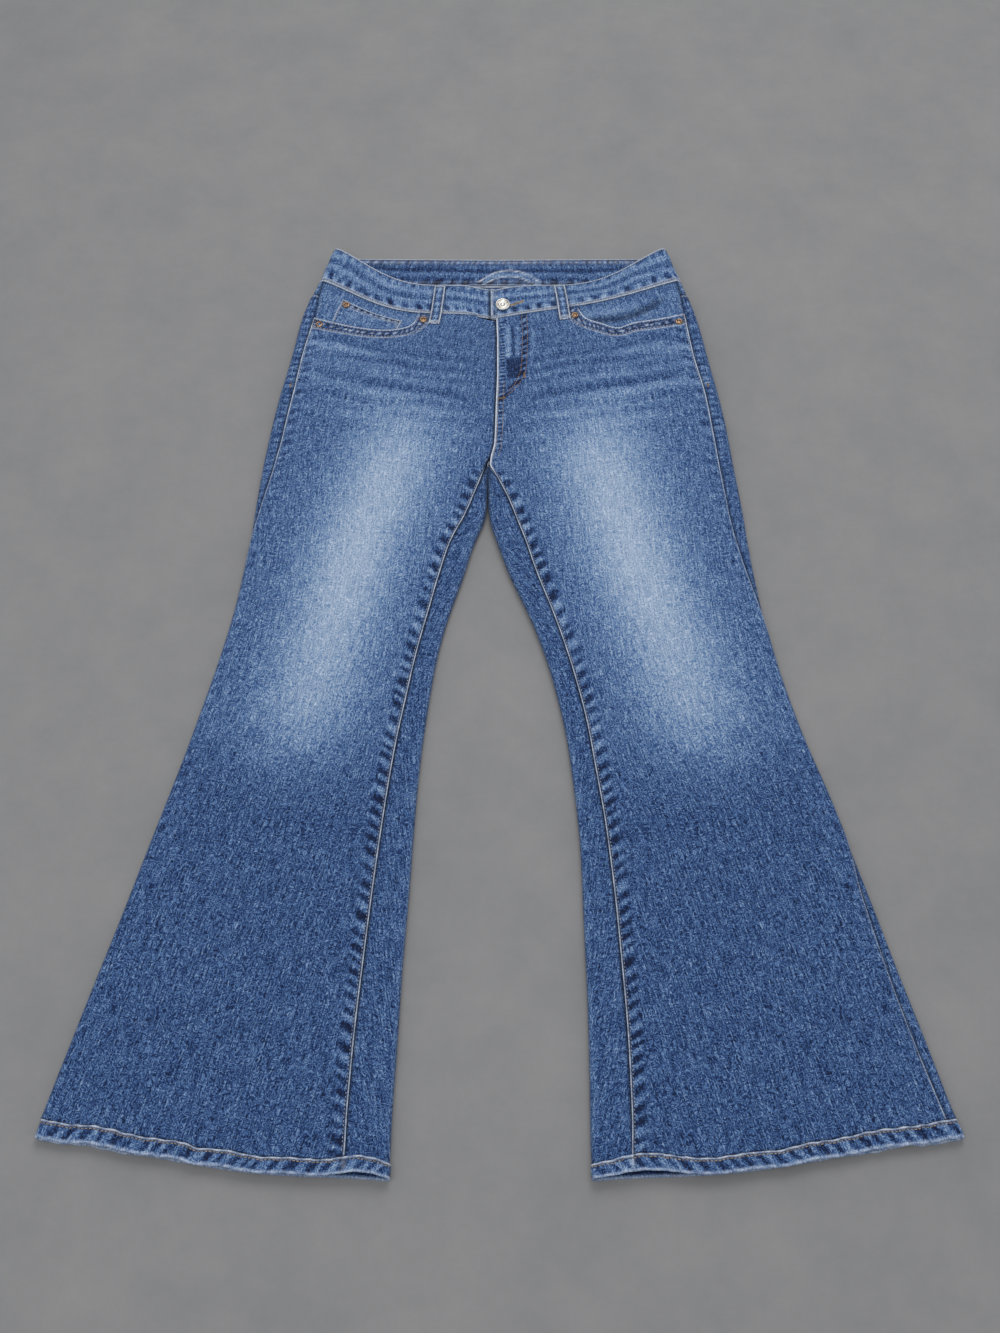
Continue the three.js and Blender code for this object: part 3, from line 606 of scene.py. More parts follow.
def put(name, points, faces, material, uv=None, marks=None):
    """A mesh from whole arrays, in metres, its faces turned outwards by the sign of its volume."""
    corners = points[faces]
    volume = np.einsum("ij,ij->i", corners[:, 0], np.cross(corners[:, 1], corners[:, 2])).sum()
    volume += np.einsum("ij,ij->i", corners[:, 0], np.cross(corners[:, 2], corners[:, 3])).sum()
    if volume < 0:
        faces = faces[:, ::-1]
    mesh = bpy.data.meshes.new(name)
    mesh.vertices.add(len(points))
    mesh.vertices.foreach_set("co", (points * MM).astype(np.float32).ravel())
    mesh.loops.add(faces.size)
    mesh.loops.foreach_set("vertex_index", faces.astype(np.int32).ravel())
    mesh.polygons.add(len(faces))
    mesh.polygons.foreach_set("loop_start", np.arange(0, faces.size, 4, dtype=np.int32))
    mesh.update(calc_edges=True)
    if uv is not None:
        layer = mesh.uv_layers.new(name="cloth")
        layer.data.foreach_set("uv", (uv[faces] * MM).astype(np.float32).ravel())
    for mark, values in (marks or {}).items():
        data = mesh.attributes.new(mark, "FLOAT", "POINT").data
        data.foreach_set("value", values.astype(np.float32).ravel())
    return placed(name, mesh, material)


def shell(high, wide, closed=False):
    """Faces of a shell on two grids of points, one after the other, its rims closed."""
    upper = np.arange(high * wide).reshape(high, wide)
    if closed:
        upper = np.column_stack([upper, upper[:, :1]])
    lower = upper + high * wide
    rims = [(upper[:1], lower[:1]), (lower[-1:], upper[-1:])]
    if not closed:
        rims += [(lower[:, :1].T, upper[:, :1].T), (upper[:, -1:].T, lower[:, -1:].T)]
    strips = [quads(np.concatenate(rim)) for rim in rims]
    return np.concatenate([quads(upper)[:, ::-1], quads(lower), *strips])


def cloth(name, outside, inside, uv, made, closed=False, lining=None):
    """A shell of denim between two grids of points, its rims closed; lining marks the inside."""
    outside[..., 2] = np.maximum(outside[..., 2], 0.05)
    inside[..., 2] = np.maximum(inside[..., 2], 0.05)
    faces = shell(*outside.shape[:2], closed)
    points = np.concatenate([outside.reshape(-1, 3), inside.reshape(-1, 3)])
    lining = lining or made
    marks = {
        mark: np.clip(np.concatenate([getattr(face, mark).ravel() for face in (made, lining)]), -2, limit)
        for mark, limit in (("fade", 2), ("worn", 1), ("dark", 1))
    }
    flat = np.broadcast_to(uv, outside.shape[:2] + (2,)).reshape(-1, 2)
    return put(name, points, faces, washed_denim, np.concatenate([flat, flat]), marks)


# Washed indigo denim, a right-hand twill with slubby yarn: blue warp over white weft, so it
# pales where it is rubbed. The real ribs are 0.8 mm apart, too fine to show, so the mottle of
# slubs, and of the curls that a stretch weave crimps into, is drawn 2 to 4 mm wide. Dry and
# matt, with a slight bloom of loose fibre.
washed_denim, shader, tree = surface("washed_indigo_denim", {
    "Roughness": 0.88, "Specular IOR Level": 0.2, "Sheen Weight": 0.08, "Sheen Roughness": 0.5,
})
cloth_map = add(tree, "UVMap", {"uv_map": "cloth"})
wanders = {}
for key, size, extra in (
    ("maze", (0.0019, 0.0024), {"Detail": 0.5, "Distortion": 1.6}),
    ("curls", (0.0046, 0.0054), {"Detail": 0.3, "Distortion": 0.4}),
    ("warp", (0.0014, 0.022), {"Detail": 1.0, "Distortion": 0.2}),
    ("weft", (0.013, 0.0013), {"Detail": 1.0, "Distortion": 0.2}),
    ("mottle", (0.012, 0.014), {"Detail": 2.0, "Distortion": 0.4}),
):
    scaled = add(tree, "VectorMath", {"operation": "DIVIDE"}, {0: cloth_map, 1: (*size, 1)})
    inputs = {"Vector": scaled, "Scale": 1, **extra}
    wanders[key] = add(tree, "TexNoise", {"noise_dimensions": "2D"}, inputs).outputs["Fac"]


def sums(tree, terms):
    """The sum of factor times (socket - 0.5) over the terms."""
    total = 0.0
    for socket, factor in terms:
        offset = add(tree, "Math", {"operation": "SUBTRACT"}, {0: socket, 1: 0.5})
        inputs = {0: offset, 1: factor, 2: total}
        total = add(tree, "Math", {"operation": "MULTIPLY_ADD"}, inputs).outputs[0]
    return total


def attribute(tree, name):
    """The socket of one of the cloth's marks."""
    return add(tree, "Attribute", {"attribute_name": name}).outputs["Fac"]


fade = attribute(tree, "fade")
phase = add(tree, "Math", {"operation": "MULTIPLY"}, {0: wanders["curls"], 1: 26.0})
curl = add(tree, "Math", {"operation": "SINE"}, {0: phase})
curls = add(tree, "Math", {"operation": "MULTIPLY_ADD"}, {0: curl, 1: 0.5, 2: 0.5})
yarn = sums(tree, [
    (wanders["maze"], 1.1), (curls, 0.8), (wanders["warp"], 1.15), (wanders["weft"], 0.5),
])
calm = add(tree, "Math", {"operation": "MULTIPLY_ADD", "use_clamp": True}, {0: fade, 1: -0.5, 2: 1.0})
grain = add(tree, "Math", {"operation": "MULTIPLY_ADD"}, {0: yarn, 1: calm, 2: fade})
mottle = sums(tree, [(wanders["mottle"], 0.08)])
shade = add(tree, "Math", {"operation": "ADD"}, {0: grain, 1: mottle})
# The fades from LEAST_FADE up, over FADE_SPAN, as parts of the ramp
LEAST_FADE, FADE_SPAN = -0.6, 2.1
level = add(tree, "Math", {"operation": "MULTIPLY_ADD"}, {
    0: shade, 1: 1 / FADE_SPAN, 2: -LEAST_FADE / FADE_SPAN,
})
blues = [(-0.6, 0x111D3A), (-0.3, 0x223E70), (0.0, 0x37537F), (0.16, 0x426293), (0.32, 0x4C6EA0),
         (0.55, 0x6C8AB1), (0.85, 0x90A7C3), (1.0, 0xA2B5CE), (1.4, 0xC9D5E4)]
stops = [((faded - LEAST_FADE) / FADE_SPAN, blue) for faded, blue in blues]
dye = add(tree, "ValToRGB", {"stops": stops}, {"Fac": level})
rubbed = add(tree, "Math", {"operation": "MULTIPLY_ADD", "use_clamp": True}, {
    0: sums(tree, [(wanders["maze"], 1.4)]), 1: attribute(tree, "worn"), 2: attribute(tree, "worn"),
})
pale = add(tree, "MixRGB", {}, {
    "Fac": rubbed, "Color1": dye, "Color2": [*linear(0xDFE7F3), 1],
})
# The dark mark is painted shade: it mixes in 0x111A2E along seam grooves, under laps and band edges,
# beside belt loops, between the legs and in the pocket's fold.
deep = add(tree, "MixRGB", {}, {
    "Fac": attribute(tree, "dark"), "Color1": pale, "Color2": [*linear(0x111A2E), 1],
})
tree.links.new(deep.outputs["Color"], shader.inputs["Base Color"])
bump = add(tree, "Bump", {}, {"Height": yarn, "Strength": 0.5, "Distance": 0.0006})
tree.links.new(bump.outputs["Normal"], shader.inputs["Normal"])

FLY_TRIM = 5
down_rows = spread((90, HEM_SEAM - HALF_GAP, 366))
top_rows = spread((0, 0.02, 4), (0.02, 0.25, 10), (0.25, 1, 24))[:-1]
front_columns = spread((0, 0.006, 4), (0.006, 0.05, 9), (0.05, 0.44, 30), (0.44, 0.53, 18),
                       (0.53, 0.93, 30), (0.93, 0.992, 12), (0.992, 1, 4))
for half in HALVES:
    line = section(half, POCKET_LEVEL)
    guide = pocket_down(half, line.start + (line.end - line.start) * front_columns)
    trim = np.where((front_columns > 0.9) & (half == "right"), FLY_TRIM, HALF_GAP)
    top = np.maximum(guide, trim)
    down = np.concatenate([top + (90 - top) * top_rows[:, None], down_rows[:, None] + 0 * top])
    at = section(half, down)
    lap = 14 * soft(118, 93, down) * soft(0.9, 1, front_columns) if half == "right" else 0
    across = at.start + (at.end - at.start) * front_columns + lap
    reach = across - at.over
    sunk = UNDER_DENIM * soft(126, 118, down) * soft(-18, -10, reach) if half == "right" else 0
    made = front_look(half, down, across)
    edge = np.minimum(np.minimum(across - at.start, down - top), np.where(at.is_leg, at.end - across, 9))
    shift, raised = hem_shift(half, down, across)
    place = lambda depth: np.where((down < CROTCH)[..., None], past_middle(half, down, reach, depth),
                                   skin(half, down + shift, across, depth - raised))
    fall, depth = rounding(edge, DENIM / 2), sunk - made.relief
    panel = cloth(f"front_panel_{half}", place(depth + fall), place(depth + DENIM - fall),
                  paired(across, down), made)
    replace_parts(panel, f"front_{half}")


# Back panels. The other half of each leg in the same denim, less worn. Each runs under the
# leg and up round its inner fold, and ends on top under the front's lap at the inseam. The
# two meet under the seat in a felled seam, the left one on top.

BACK_COLUMNS = spread((0, 1, 9), (1, 2, 26), (2, 3, 14), (3, 4, 20))


def back_reach(at, down):
    """How far under the back a panel reaches: to the seat seam, up the crotch, then to the inseam."""
    top = at.under + at.wall - UNDER_DENIM
    seat = at.under + (at.wall - UNDER_DENIM) * soft(CROTCH - 14, CROTCH, down)
    inseam = at.under + at.wall + at.top_arc + at.inset - at.top_wide - SEAM_GAP
    return np.where(down <= CROTCH, seat, top + (inseam - top) * soft(CROTCH, CROTCH + 4, down))


def back_across(half, down):
    """Ways across of the columns: even steps between side seam, fold, floor, inner fold and inseam."""
    at = section(half, down)
    reach = back_reach(at, down)
    formed = soft(CROTCH - 55, CROTCH + 4, down)
    strip = np.minimum(reach - 12 + (at.under + at.wall + at.top_arc - reach + 12) * formed, reach - 1)
    floor = np.minimum(reach - 40 + (at.under - at.low_arc - reach + 40) * formed, strip - 4)
    bounds = np.stack([at.seam - HALF_GAP, -at.out_arc, -floor, -strip, -reach])
    k = np.minimum(BACK_COLUMNS.astype(int), 3)[None, None, :]
    below, above = (np.take_along_axis(bounds, k + step, 0)[0] for step in (0, 1))
    return below + (above - below) * (BACK_COLUMNS - k[0])


def back_look(half, down, across):
    """Relief and marks of a back panel: seat and strip wear, painted shade between the legs, both seams
    and the hem's puckers.
    """
    at = section(half, down)
    reach = back_reach(at, down)
    made = look(np.shape(across))
    part = -across / reach
    top = at.under + at.wall
    made.fade += 0.45 * bell(down, 150, 90) * bell(part, 0.5, 0.25) + 0.07 * soft(0.1, -0.1, part)
    made.fade += 0.17 * bell(-across, top + 0.55 * at.top_arc, 3.5) * soft(CROTCH, 330, down)
    # Painted shade in the crevice between the legs, along the top of the inner fold from the crotch to 350
    # mm down.
    thigh = soft(CROTCH - 4, CROTCH + 4, down) * soft(350, 290, down)
    made.dark += 0.6 * bell(-across, top + 0.1 * at.top_arc, 5) * thigh
    made.relief += 0.45 * swell(skin(half, down, across), 150, 12)
    legs = soft(CROTCH, CROTCH + 16, down)
    inseam = look(np.shape(across))
    # Painted shadow along the inseam under the front's lap.
    lower_edge(inseam, reach + across, down, 41 + SIDE_SEED[half], rope=0.55, dark=0.95)
    seat = look(np.shape(across))
    # At the seat seam the left half laps with its line of painted shade; the right half under it takes a
    # painted shadow.
    if half == "left":
        upper_edge(seat, reach + across, down, 43, rope=0.5)
    else:
        lower_edge(seat, reach + across, down, 44)
    for name in ("relief", "fade", "worn", "dark"):
        edge = getattr(inseam, name) * legs + getattr(seat, name) * (1 - legs)
        setattr(made, name, getattr(made, name) + edge)
    hips = 0.5 + 1.2 * soft(330, 200, down)
    # Painted shadow along the side seam under the front's edge.
    lower_edge(made, at.seam - HALF_GAP - across, down, 45 + SIDE_SEED[half], rope=hips)
    hem_puckers(made, down, across)
    return made


def yoke_down(half, across):
    """The yoke seam's way down: straight from 22 mm at the side to 68 mm at the seat seam."""
    part = np.clip(-across / section(half, 68.0).under, 0, 1)
    return 22 + 46 * part


for half in HALVES:
    top = yoke_down(half, back_across(half, np.full((1, len(BACK_COLUMNS)), 90.0)))[0] + HALF_GAP
    upper_rows = spread((0, 0.05, 3), (0.05, 1, 14))[:-1]
    lower_rows = spread((90, HEM_SEAM - HALF_GAP, 300))
    down = np.concatenate([top + (90 - top) * upper_rows[:, None], lower_rows[:, None] + 0 * top])
    across = back_across(half, down)
    made = back_look(half, down, across)
    upper_edge(made, down - top, across, 47 + SIDE_SEED[half], rope=0.4)
    at = section(half, down)
    from_seams = np.minimum(back_reach(at, down) + across, at.seam - HALF_GAP - across)
    edge = np.minimum(from_seams, down - top)
    shift, _ = hem_shift(half, down, across)
    fall = rounding(edge, DENIM / 2)
    outside = skin(half, down + shift, across, fall - made.relief)
    inside = skin(half, down + shift, across, DENIM - fall - made.relief)
    panel = cloth(f"back_panel_{half}", outside, inside, paired(across, down), made)
    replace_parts(panel, f"back_{half}")


# Back yokes. A shaped strip of denim between each back panel and the waistband, cut so that
# the seat curves. Sewn into the yoke seam below and the waist seam above.

for half in HALVES:
    foot = yoke_down(half, back_across(half, np.full((1, len(BACK_COLUMNS)), 90.0)))[0] - HALF_GAP
    rows = spread((0, 0.06, 3), (0.06, 0.9, 14), (0.9, 1, 3))
    down = HALF_GAP + (foot - HALF_GAP) * rows[:, None]
    across = back_across(half, down)
    made = look(down.shape)
    made.fade += 0.16 + 0.1 * bell(-across, 90, 60)
    made.relief += 0.3 * swell(skin(half, down, across), 90, 13)
    # Painted shadow along the waist seam, the yoke seam and the side seam.
    lower_edge(made, down - HALF_GAP, across, 51, rope=0.5, dark=0.6)
    lower_edge(made, foot - down, across, 52, rope=0.4, dark=0.8)
    lower_edge(made, section(half, down).seam - HALF_GAP - across, down, 53, rope=1.1)
    edge = np.minimum(down - HALF_GAP, foot - down)
    fall = rounding(edge, DENIM / 2)
    outside = skin(half, down, across, fall - made.relief)
    inside = skin(half, down, across, DENIM - fall - made.relief)
    panel = cloth(f"back_yoke_{half}", outside, inside, paired(across, down), made)
    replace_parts(panel, f"yoke_{half}")


# Pocket facings. Denim that shows inside each front pocket opening, sewn in at the waist and
# the side and hidden below the opening's edge. The left pocket gapes, so its facing sinks
# into one soft fold, darkened with painted shade.

def facing_shadow(down, across):
    """The fold in the gaping pocket, both its trough and its painted shade, along a bowed line from the
    corner to the side.
    """
    line = 31 - 14 * soft(80, 20, across) - 5 * soft(95, 130, across)
    return bell(down, line, 5.5) * soft(24, 50, across) * soft(134, 112, across)


for half in HALVES:
    corner, deepest = POCKET[half]["corner"], POCKET[half]["facing_depth"]
    seam = EDGE[half][1, 2]
    columns = spread((seam - 4, seam + 9, 10), (seam + 9, corner - 6, 60), (corner - 6, corner + 9, 14))
    rows = spread((0, 1, 46))[:, None]
    foot = pocket_down(half, columns) + 12
    down = HALF_GAP + (foot - HALF_GAP) * rows
    free = soft(0, 9, down) * soft(seam - 4, seam + 9, columns) * soft(corner + 9, corner - 2, columns)
    across = columns + read(EDGE[half], down)[1] - seam
    made = look(down.shape)
    made.fade += 0.28 + 0.1 * bell(down, 14, 16) * bell(columns, 110, 30) - 0.12 * soft(12, 2, down)
    made.relief += 0.3 * free * swell(skin(half, down, across), 40, 14)
    if half == "left":
        fold = facing_shadow(down, columns)
        made.relief += -1.6 * fold + 0.9 * bell(down, 22 - 8 * soft(80, 20, columns), 5) * free
        # Painted shade in the fold: a dark mark and a lower fade along the trough.
        made.dark += 0.55 * fold
        made.fade += 0.16 * bell(down, 19, 6) * soft(50, 80, columns) - 0.2 * fold
    # Painted shadow under the waist seam and under the opening's edge.
    lower_edge(made, down, columns, 54, rope=0.3, dark=0.4)
    lower_edge(made, np.maximum(foot - 12 - down, 0), columns, 55, rope=0.0, dark=0.75)
    depth = 1.8 + (deepest - 1.8) * free - made.relief * free
    panel = cloth(f"pocket_facing_cloth_{half}", skin(half, down, across, depth),
                  skin(half, down, across, depth + DENIM), paired(across, down), made)
    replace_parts(panel, f"pocket_facing_{half}")


# Coin pocket. A small patch on the right facing, hemmed along its top with two rows of
# stitching, its foot caught behind the pocket opening.

COIN_START, COIN_END = 42, 117


def coin_top(across):
    """How far down the coin pocket's top edge is: 13 mm and a slope of 0.08."""
    return 13 + (across - COIN_START) * 0.08


columns = spread((COIN_START, 45, 4), (45, 114, 44), (114, COIN_END, 4))
top = coin_top(columns)
foot = pocket_down("right", columns) + 8
down = top + (foot - top) * spread((0, 0.12, 8), (0.12, 1, 26))[:, None]
made = look(down.shape)
from_side = np.minimum(columns - COIN_START, COIN_END - columns)
chain = sharpen(puckers(columns, 7, 64))
made.fade += 0.3 + bell(down - top, 4.5, 2.6) * (0.75 * chain - 0.3)
made.worn += np.maximum(0.85 * bell(down - top, 0.5, 0.7), 0.7 * bell(from_side, 0.5, 0.7))
raise_to(made, "worn", 0.35 * bell(down - top, 8.4, 0.7))
raise_to(made, "worn", 0.6 * np.maximum(chain, 0) * bell(down - top, 4.8, 1.4))
made.fade += 0.3 * puckers(down, 7, 61) * bell(columns - COIN_START, 5, 4)
# Painted shade lines under the hemmed top and inside both sides.
made.dark += 0.6 * bell(down - top, 3.0, 0.7) + 0.4 * bell(from_side, 2.2, 0.7)
# Painted shadow where its foot goes under the opening's edge.
lower_edge(made, np.maximum(foot - 8 - down, 0), columns, 62, rope=0.0, dark=0.7)
made.relief += 0.2 * puckers(columns, 9, 63) * bell(down - top, 5, 6)
edge = np.minimum(np.minimum(down - top, from_side), 9)
outside = skin("right", down, columns, 1.5 - made.relief + rounding(edge, 0.5))
inside = skin("right", down, columns, 2.6 - made.relief)
panel = cloth("coin_pocket_cloth", outside, inside, paired(columns, down), made)
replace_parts(panel, "coin_pocket")


# Waistband. One strip of doubled denim, 49 mm wide, from its buttoned end round both sides to
# the end under it. Its edges are stitched and rubbed white, and its lining shows at the back.

BAND = 2.4
BAND_ROWS = spread((BAND_TOP, -46, 4), (-46, -7, 15), (-7, -HALF_GAP, 6))[:, None]
BAND_RUNS = (
    ("left", "front", spread((6, 0, 3), (0, -140, 60))[:-1]),
    ("left", "side", spread((0, 1, 10))[:-1]),
    ("left", "fold", spread((1.6, -1, 20))[:-1]),
    ("left", "back", spread((0, 0.99, 62))),
    ("right", "back", spread((0.99, 0, 62))[:-1]),
    ("right", "fold", spread((-1, 1.6, 20))[:-1]),
    ("right", "side", spread((1, 0, 10))[:-1]),
    ("right", "front", spread((-140, -44, 42), (-44, -8, 24), (-8, 24, 10))),
)


def band_points(depth):
    """The band's grid at a depth, run by run: by reach on the front, by way across elsewhere."""
    parts = []
    start = 0
    for half, kind, values in BAND_RUNS:
        own = depth[:, start:start + len(values)]
        start += len(values)
        at = section(half, BAND_ROWS)
        sunk = (BAND + SEAM_GAP) * soft(-40, -16, values) if (half, kind) == ("right", "front") else 0
        if kind == "front":
            parts.append(past_middle(half, BAND_ROWS, values, sunk + own))
            continue
        across = {
            "side": at.over - 140 + (1.6 * at.out_arc - at.over + 140) * values,
            "fold": at.out_arc * values,
            "back": -(at.out_arc + (at.under - at.out_arc) * values),
        }[kind]
        parts.append(skin(half, BAND_ROWS, across, own))
    return np.concatenate(parts, 1)


def band_look(along, place, lining):
    """Wear of the band's face or of its lining: rubbed edges, rope above the seam, long creases, and
    painted shade inside both edges.
    """
    rows = BAND_ROWS + 0 * along
    made = look(rows.shape)
    top = rows - BAND_TOP
    foot = -rows
    crease = puckers(rows + 3.0 * swell(place, 70, 71) + 5 * np.sin(along / 90), 15, 72 + lining)
    blocks = sharpen(puckers(along + 0.25 * foot, 15, 74 + lining))
    made.relief += 0.8 * crease * bell(top, 20, 14) + 0.5 * blocks * bell(foot, 6.5, 5)
    made.fade += 0.31 + 0.5 * sharpen(crease) * bell(top, 22, 15)
    roped = soft(2.5, 4.5, foot) * soft(17, 9, foot)
    made.fade += (0.5 * np.maximum(blocks, 0) + 0.95 * np.minimum(blocks, 0)) * roped
    made.fade += 0.5 * sharpen(puckers(along, 11, 76 + lining)) * bell(top, 5.5, 3.5)
    made.worn = np.maximum(bell(top, 0.6, 1.0), bell(foot, 0.8, 0.9))
    raise_to(made, "worn", 0.7 * bell(foot, 4.1, 0.7) * (0.75 + 0.25 * puckers(along, 9, 78)))
    # Painted shade lines just inside the band's lower and upper edges.
    made.dark += 0.85 * bell(foot, 2.1, 0.8) + 0.5 * bell(top, 2.4, 0.7)
    return made


flat_points = band_points(np.zeros((len(BAND_ROWS), sum(len(run[2]) for run in BAND_RUNS))))
along = lengths_along(flat_points[len(BAND_ROWS) // 2 - 1])[None, :]
made = band_look(along, flat_points, 0)
lining = band_look(along, flat_points, 1)
from_end = np.minimum(along, along[:, -1:] - along)
# Painted shadow cast by each front belt loop on the band beside it.
for half in HALVES:
    gap = np.abs(flat_points[..., 0] - skin(half, BAND_ROWS, loop_middle(BAND_ROWS))[..., 0])
    raise_to(made, "dark", 0.6 * bell(gap, 7.3, 1.3) * (flat_points[..., 2] > 8))
raise_to(made, "worn", bell(from_end, 0.8, 1.1))
# Painted shade 2.9 mm in from the band's buttoned end.
raise_to(made, "dark", 0.6 * bell(along, 2.9, 0.7))
# Painted shadow cast by the buttoned end on the band under it.
shadow_beside_band_end = bell(flat_points[..., 0], -12.3, 1.6) * (flat_points[..., 2] > 8) * (along > 400)
raise_to(made, "dark", 0.95 * shadow_beside_band_end)
patch_x, patch_y = flat_points[..., 0] - 11, flat_points[..., 1] - 520
arch = patch_y + 15 * (patch_x / 33) ** 2
behind = soft(4, 1, flat_points[..., 2]) * soft(-90, -60, -np.abs(patch_x))
seam_line = BAND_ROWS + 8.5
raise_to(lining, "worn", 0.9 * behind * bell(arch, 0, 1.0) * soft(-20, -17, patch_y))
raise_to(lining, "worn", 0.8 * behind * bell(arch, -9.5, 0.9) * soft(34, 30, np.abs(patch_x)))
lining.fade += 0.3 * behind * soft(0, -2, arch) * soft(9.5, 8, -arch) - 0.42
# Painted shade beside the stitched arch on the lining.
lining.dark += 0.7 * behind * bell(arch, -11.5, 1.0) * soft(34, 30, np.abs(patch_x))
ticks = 0.5 + 0.5 * sharpen(puckers(along, 6, 77))
raise_to(lining, "worn", 0.5 * ticks * bell(seam_line, 0, 1.2))
raise_to(lining, "worn", 0.5 * ticks * bell(BAND_ROWS, -43.5, 2.4))
lining.fade += 0.8 * (ticks - 0.4) * bell(seam_line, -4, 3.0)
# Painted shade lines beside the lining's seam and below its upper row of stitching.
lining.dark += 0.6 * bell(seam_line, 2.2, 1.0) + 0.5 * bell(BAND_ROWS, -39, 1.0)
edge = np.minimum(np.minimum(BAND_ROWS - BAND_TOP, -HALF_GAP - BAND_ROWS), from_end)
fall = rounding(edge, BAND / 2)
band_relief = made.relief
panel = cloth("waistband_cloth", band_points(fall - made.relief), band_points(BAND - fall - made.relief),
              paired(along, BAND_ROWS), made, lining=lining)
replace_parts(panel, "waistband")


# Hems. The end of each leg turned up twice and stitched with tan thread. The ridge over the
# turning wears pale, and the twist of the turning ropes it into slanting blotches.

HEM = 2.4
HEM_ROWS = spread((HEM_SEAM + HALF_GAP, 973, 4), (973, 985, 9), (985, HEM_EDGE, 5))[:, None]


def hem_across(half, rows):
    """Ways across round the leg's end in one closed ring: over the front, then back under."""
    at = section(half, rows)
    top_ends, floor_ends = at.over - at.top_arc, at.under - at.low_arc
    runs = (
        (0 * at.over, at.out_arc, 20), (at.out_arc, top_ends, 150), (top_ends, at.over, 20),
        (-at.under, -floor_ends, 20), (-floor_ends, -at.out_arc, 110), (-at.out_arc, 0 * at.over, 16),
    )
    return np.concatenate([first + (last - first) * np.arange(n) / n for first, last, n in runs], 1)


for half in HALVES:
    across = hem_across(half, HEM_ROWS)
    place = skin(half, HEM_ROWS, across)
    made = look(across.shape)
    ridge, foot = HEM_ROWS - HEM_SEAM, HEM_EDGE - HEM_ROWS
    slant = sharpen(puckers(across + 0.5 * ridge, 14, 81 + SIDE_SEED[half]))
    made.relief += 0.55 * slant * bell(ridge, 9, 6)
    made.relief += 0.35 * bell(ridge, 1.4, 1.4) + 0.3 * soft(3.5, 6, ridge)
    made.fade += 0.06 + slant * soft(3, 5, ridge) * soft(15, 12, ridge) * np.where(slant > 0, 0.42, 0.8)
    made.fade += 0.45 * soft(13, 15, ridge) * (0.8 + 0.2 * slant)
    wave = 0.6 + 0.4 * puckers(across + 0.8 * ridge, 14, 83)
    made.worn = np.maximum(wave * bell(ridge, 1.2, 1.0), 0.55 * wave * bell(foot, 1.2, 1.5))
    # Painted shade along the hem's stitch groove.
    made.dark += 0.8 * bell(ridge, 3.0, 0.9)
    at = section(half, HEM_ROWS)
    made.fade += 0.3 * bell(across, at.end + 4, 5) + 0.15 * bell(across, at.seam, 5)
    made.relief += 0.9 * bell(across, at.end + 2, 6) * soft(0, 4, ridge)
    raise_to(made, "worn", 0.8 * bell(across, at.end, 0.8))
    # Painted shadow beside the inseam's lap at the hem.
    made.dark += 0.6 * bell(across, at.end - 2.2, 0.9)
    fall = rounding(np.minimum(ridge - HALF_GAP, foot), HEM / 2)
    shift, raised = hem_shift(half, HEM_ROWS, across)
    outside = skin(half, HEM_ROWS + shift, across, fall - made.relief - raised)
    inside = skin(half, HEM_ROWS + shift, across, HEM - fall - made.relief - raised)
    panel = cloth(f"hem_cloth_{half}", outside, inside, paired(across, HEM_ROWS), made, closed=True)
    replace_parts(panel, f"hem_{half}")


# Belt loops. Narrow strips of folded denim over the waistband, turned in at both ends and
# tacked with bars of thread. Two on the front and three under the back.

LOOP_HALF = 6.5
BACK_LOOP_TOP, BACK_LOOP_FOOT = 535, 483


def loop_bow(down):
    """How far a front belt loop stands off the band: half a sine wave, 0.5 mm high."""
    return 0.5 * np.sin(np.pi * (down - LOOP_TOP) / (LOOP_FOOT - LOOP_TOP))


for half in HALVES:
    rows = spread((LOOP_TOP, -45, 4), (-45, 21, 34), (21, LOOP_FOOT, 4))[:, None]
    offset = spread((-LOOP_HALF, -5, 4), (-5, 5, 9), (5, LOOP_HALF, 4))
    across = loop_middle(rows) + offset
    made = look(across.shape)
    from_edge = LOOP_HALF - np.abs(offset)
    from_end = np.minimum(rows - LOOP_TOP, LOOP_FOOT - rows)
    made.fade += 0.75 * bell(offset, 0, 2.8) + 0.3 * sharpen(puckers(rows, 12, 84)) - 0.1
    made.worn = np.maximum(0.95 * bell(from_edge, 0.5, 0.7), 0.9 * bell(from_end, 0.6, 0.8))
    # Painted shade lines just inside both edges of the loop.
    made.dark += 0.8 * bell(from_edge, 2.2, 0.8)
    bow = loop_bow(rows) + 0.25 * puckers(rows, 18, 85)
    fall = rounding(np.minimum(from_edge, from_end), 0.7)
    outside = skin(half, rows, across, -1.7 - bow + fall)
    inside = skin(half, rows, across, -0.3 - 0.8 * np.maximum(bow, 0))
    panel = cloth(f"belt_loop_cloth_front_{half}", outside, inside, paired(across, rows), made)
    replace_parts(panel, f"belt_loop_front_{half}")

def patch(name, flat, heights, from_edge, made):
    """Cloth laid flat between two heights under the back, its edges rounded by 0.4 mm."""
    fall = rounding(from_edge, 0.4)[..., None]
    faces = [np.concatenate([flat, height], -1) for height in (heights[0] + fall, heights[1] - fall)]
    return cloth(name, *faces, flat, made)


for where, x in (("right", -108), ("left", 100), ("center", -4)):
    rows = spread((BACK_LOOP_TOP, BACK_LOOP_FOOT, 30))[:, None]
    offset = spread((-LOOP_HALF, LOOP_HALF, 12))
    made = look((len(rows), len(offset)))
    from_end = np.minimum(BACK_LOOP_TOP - rows, rows - BACK_LOOP_FOOT)
    from_edge = np.minimum(LOOP_HALF - np.abs(offset), from_end)
    made.worn = 0.9 * bell(from_edge, 0.7, 0.8)
    made.fade += 0.3 * bell(offset, 0, 3)
    panel = patch(f"belt_loop_cloth_back_{where}", paired(x + offset, rows), (0.05, 1.2), from_edge, made)
    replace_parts(panel, f"belt_loop_back_{where}")


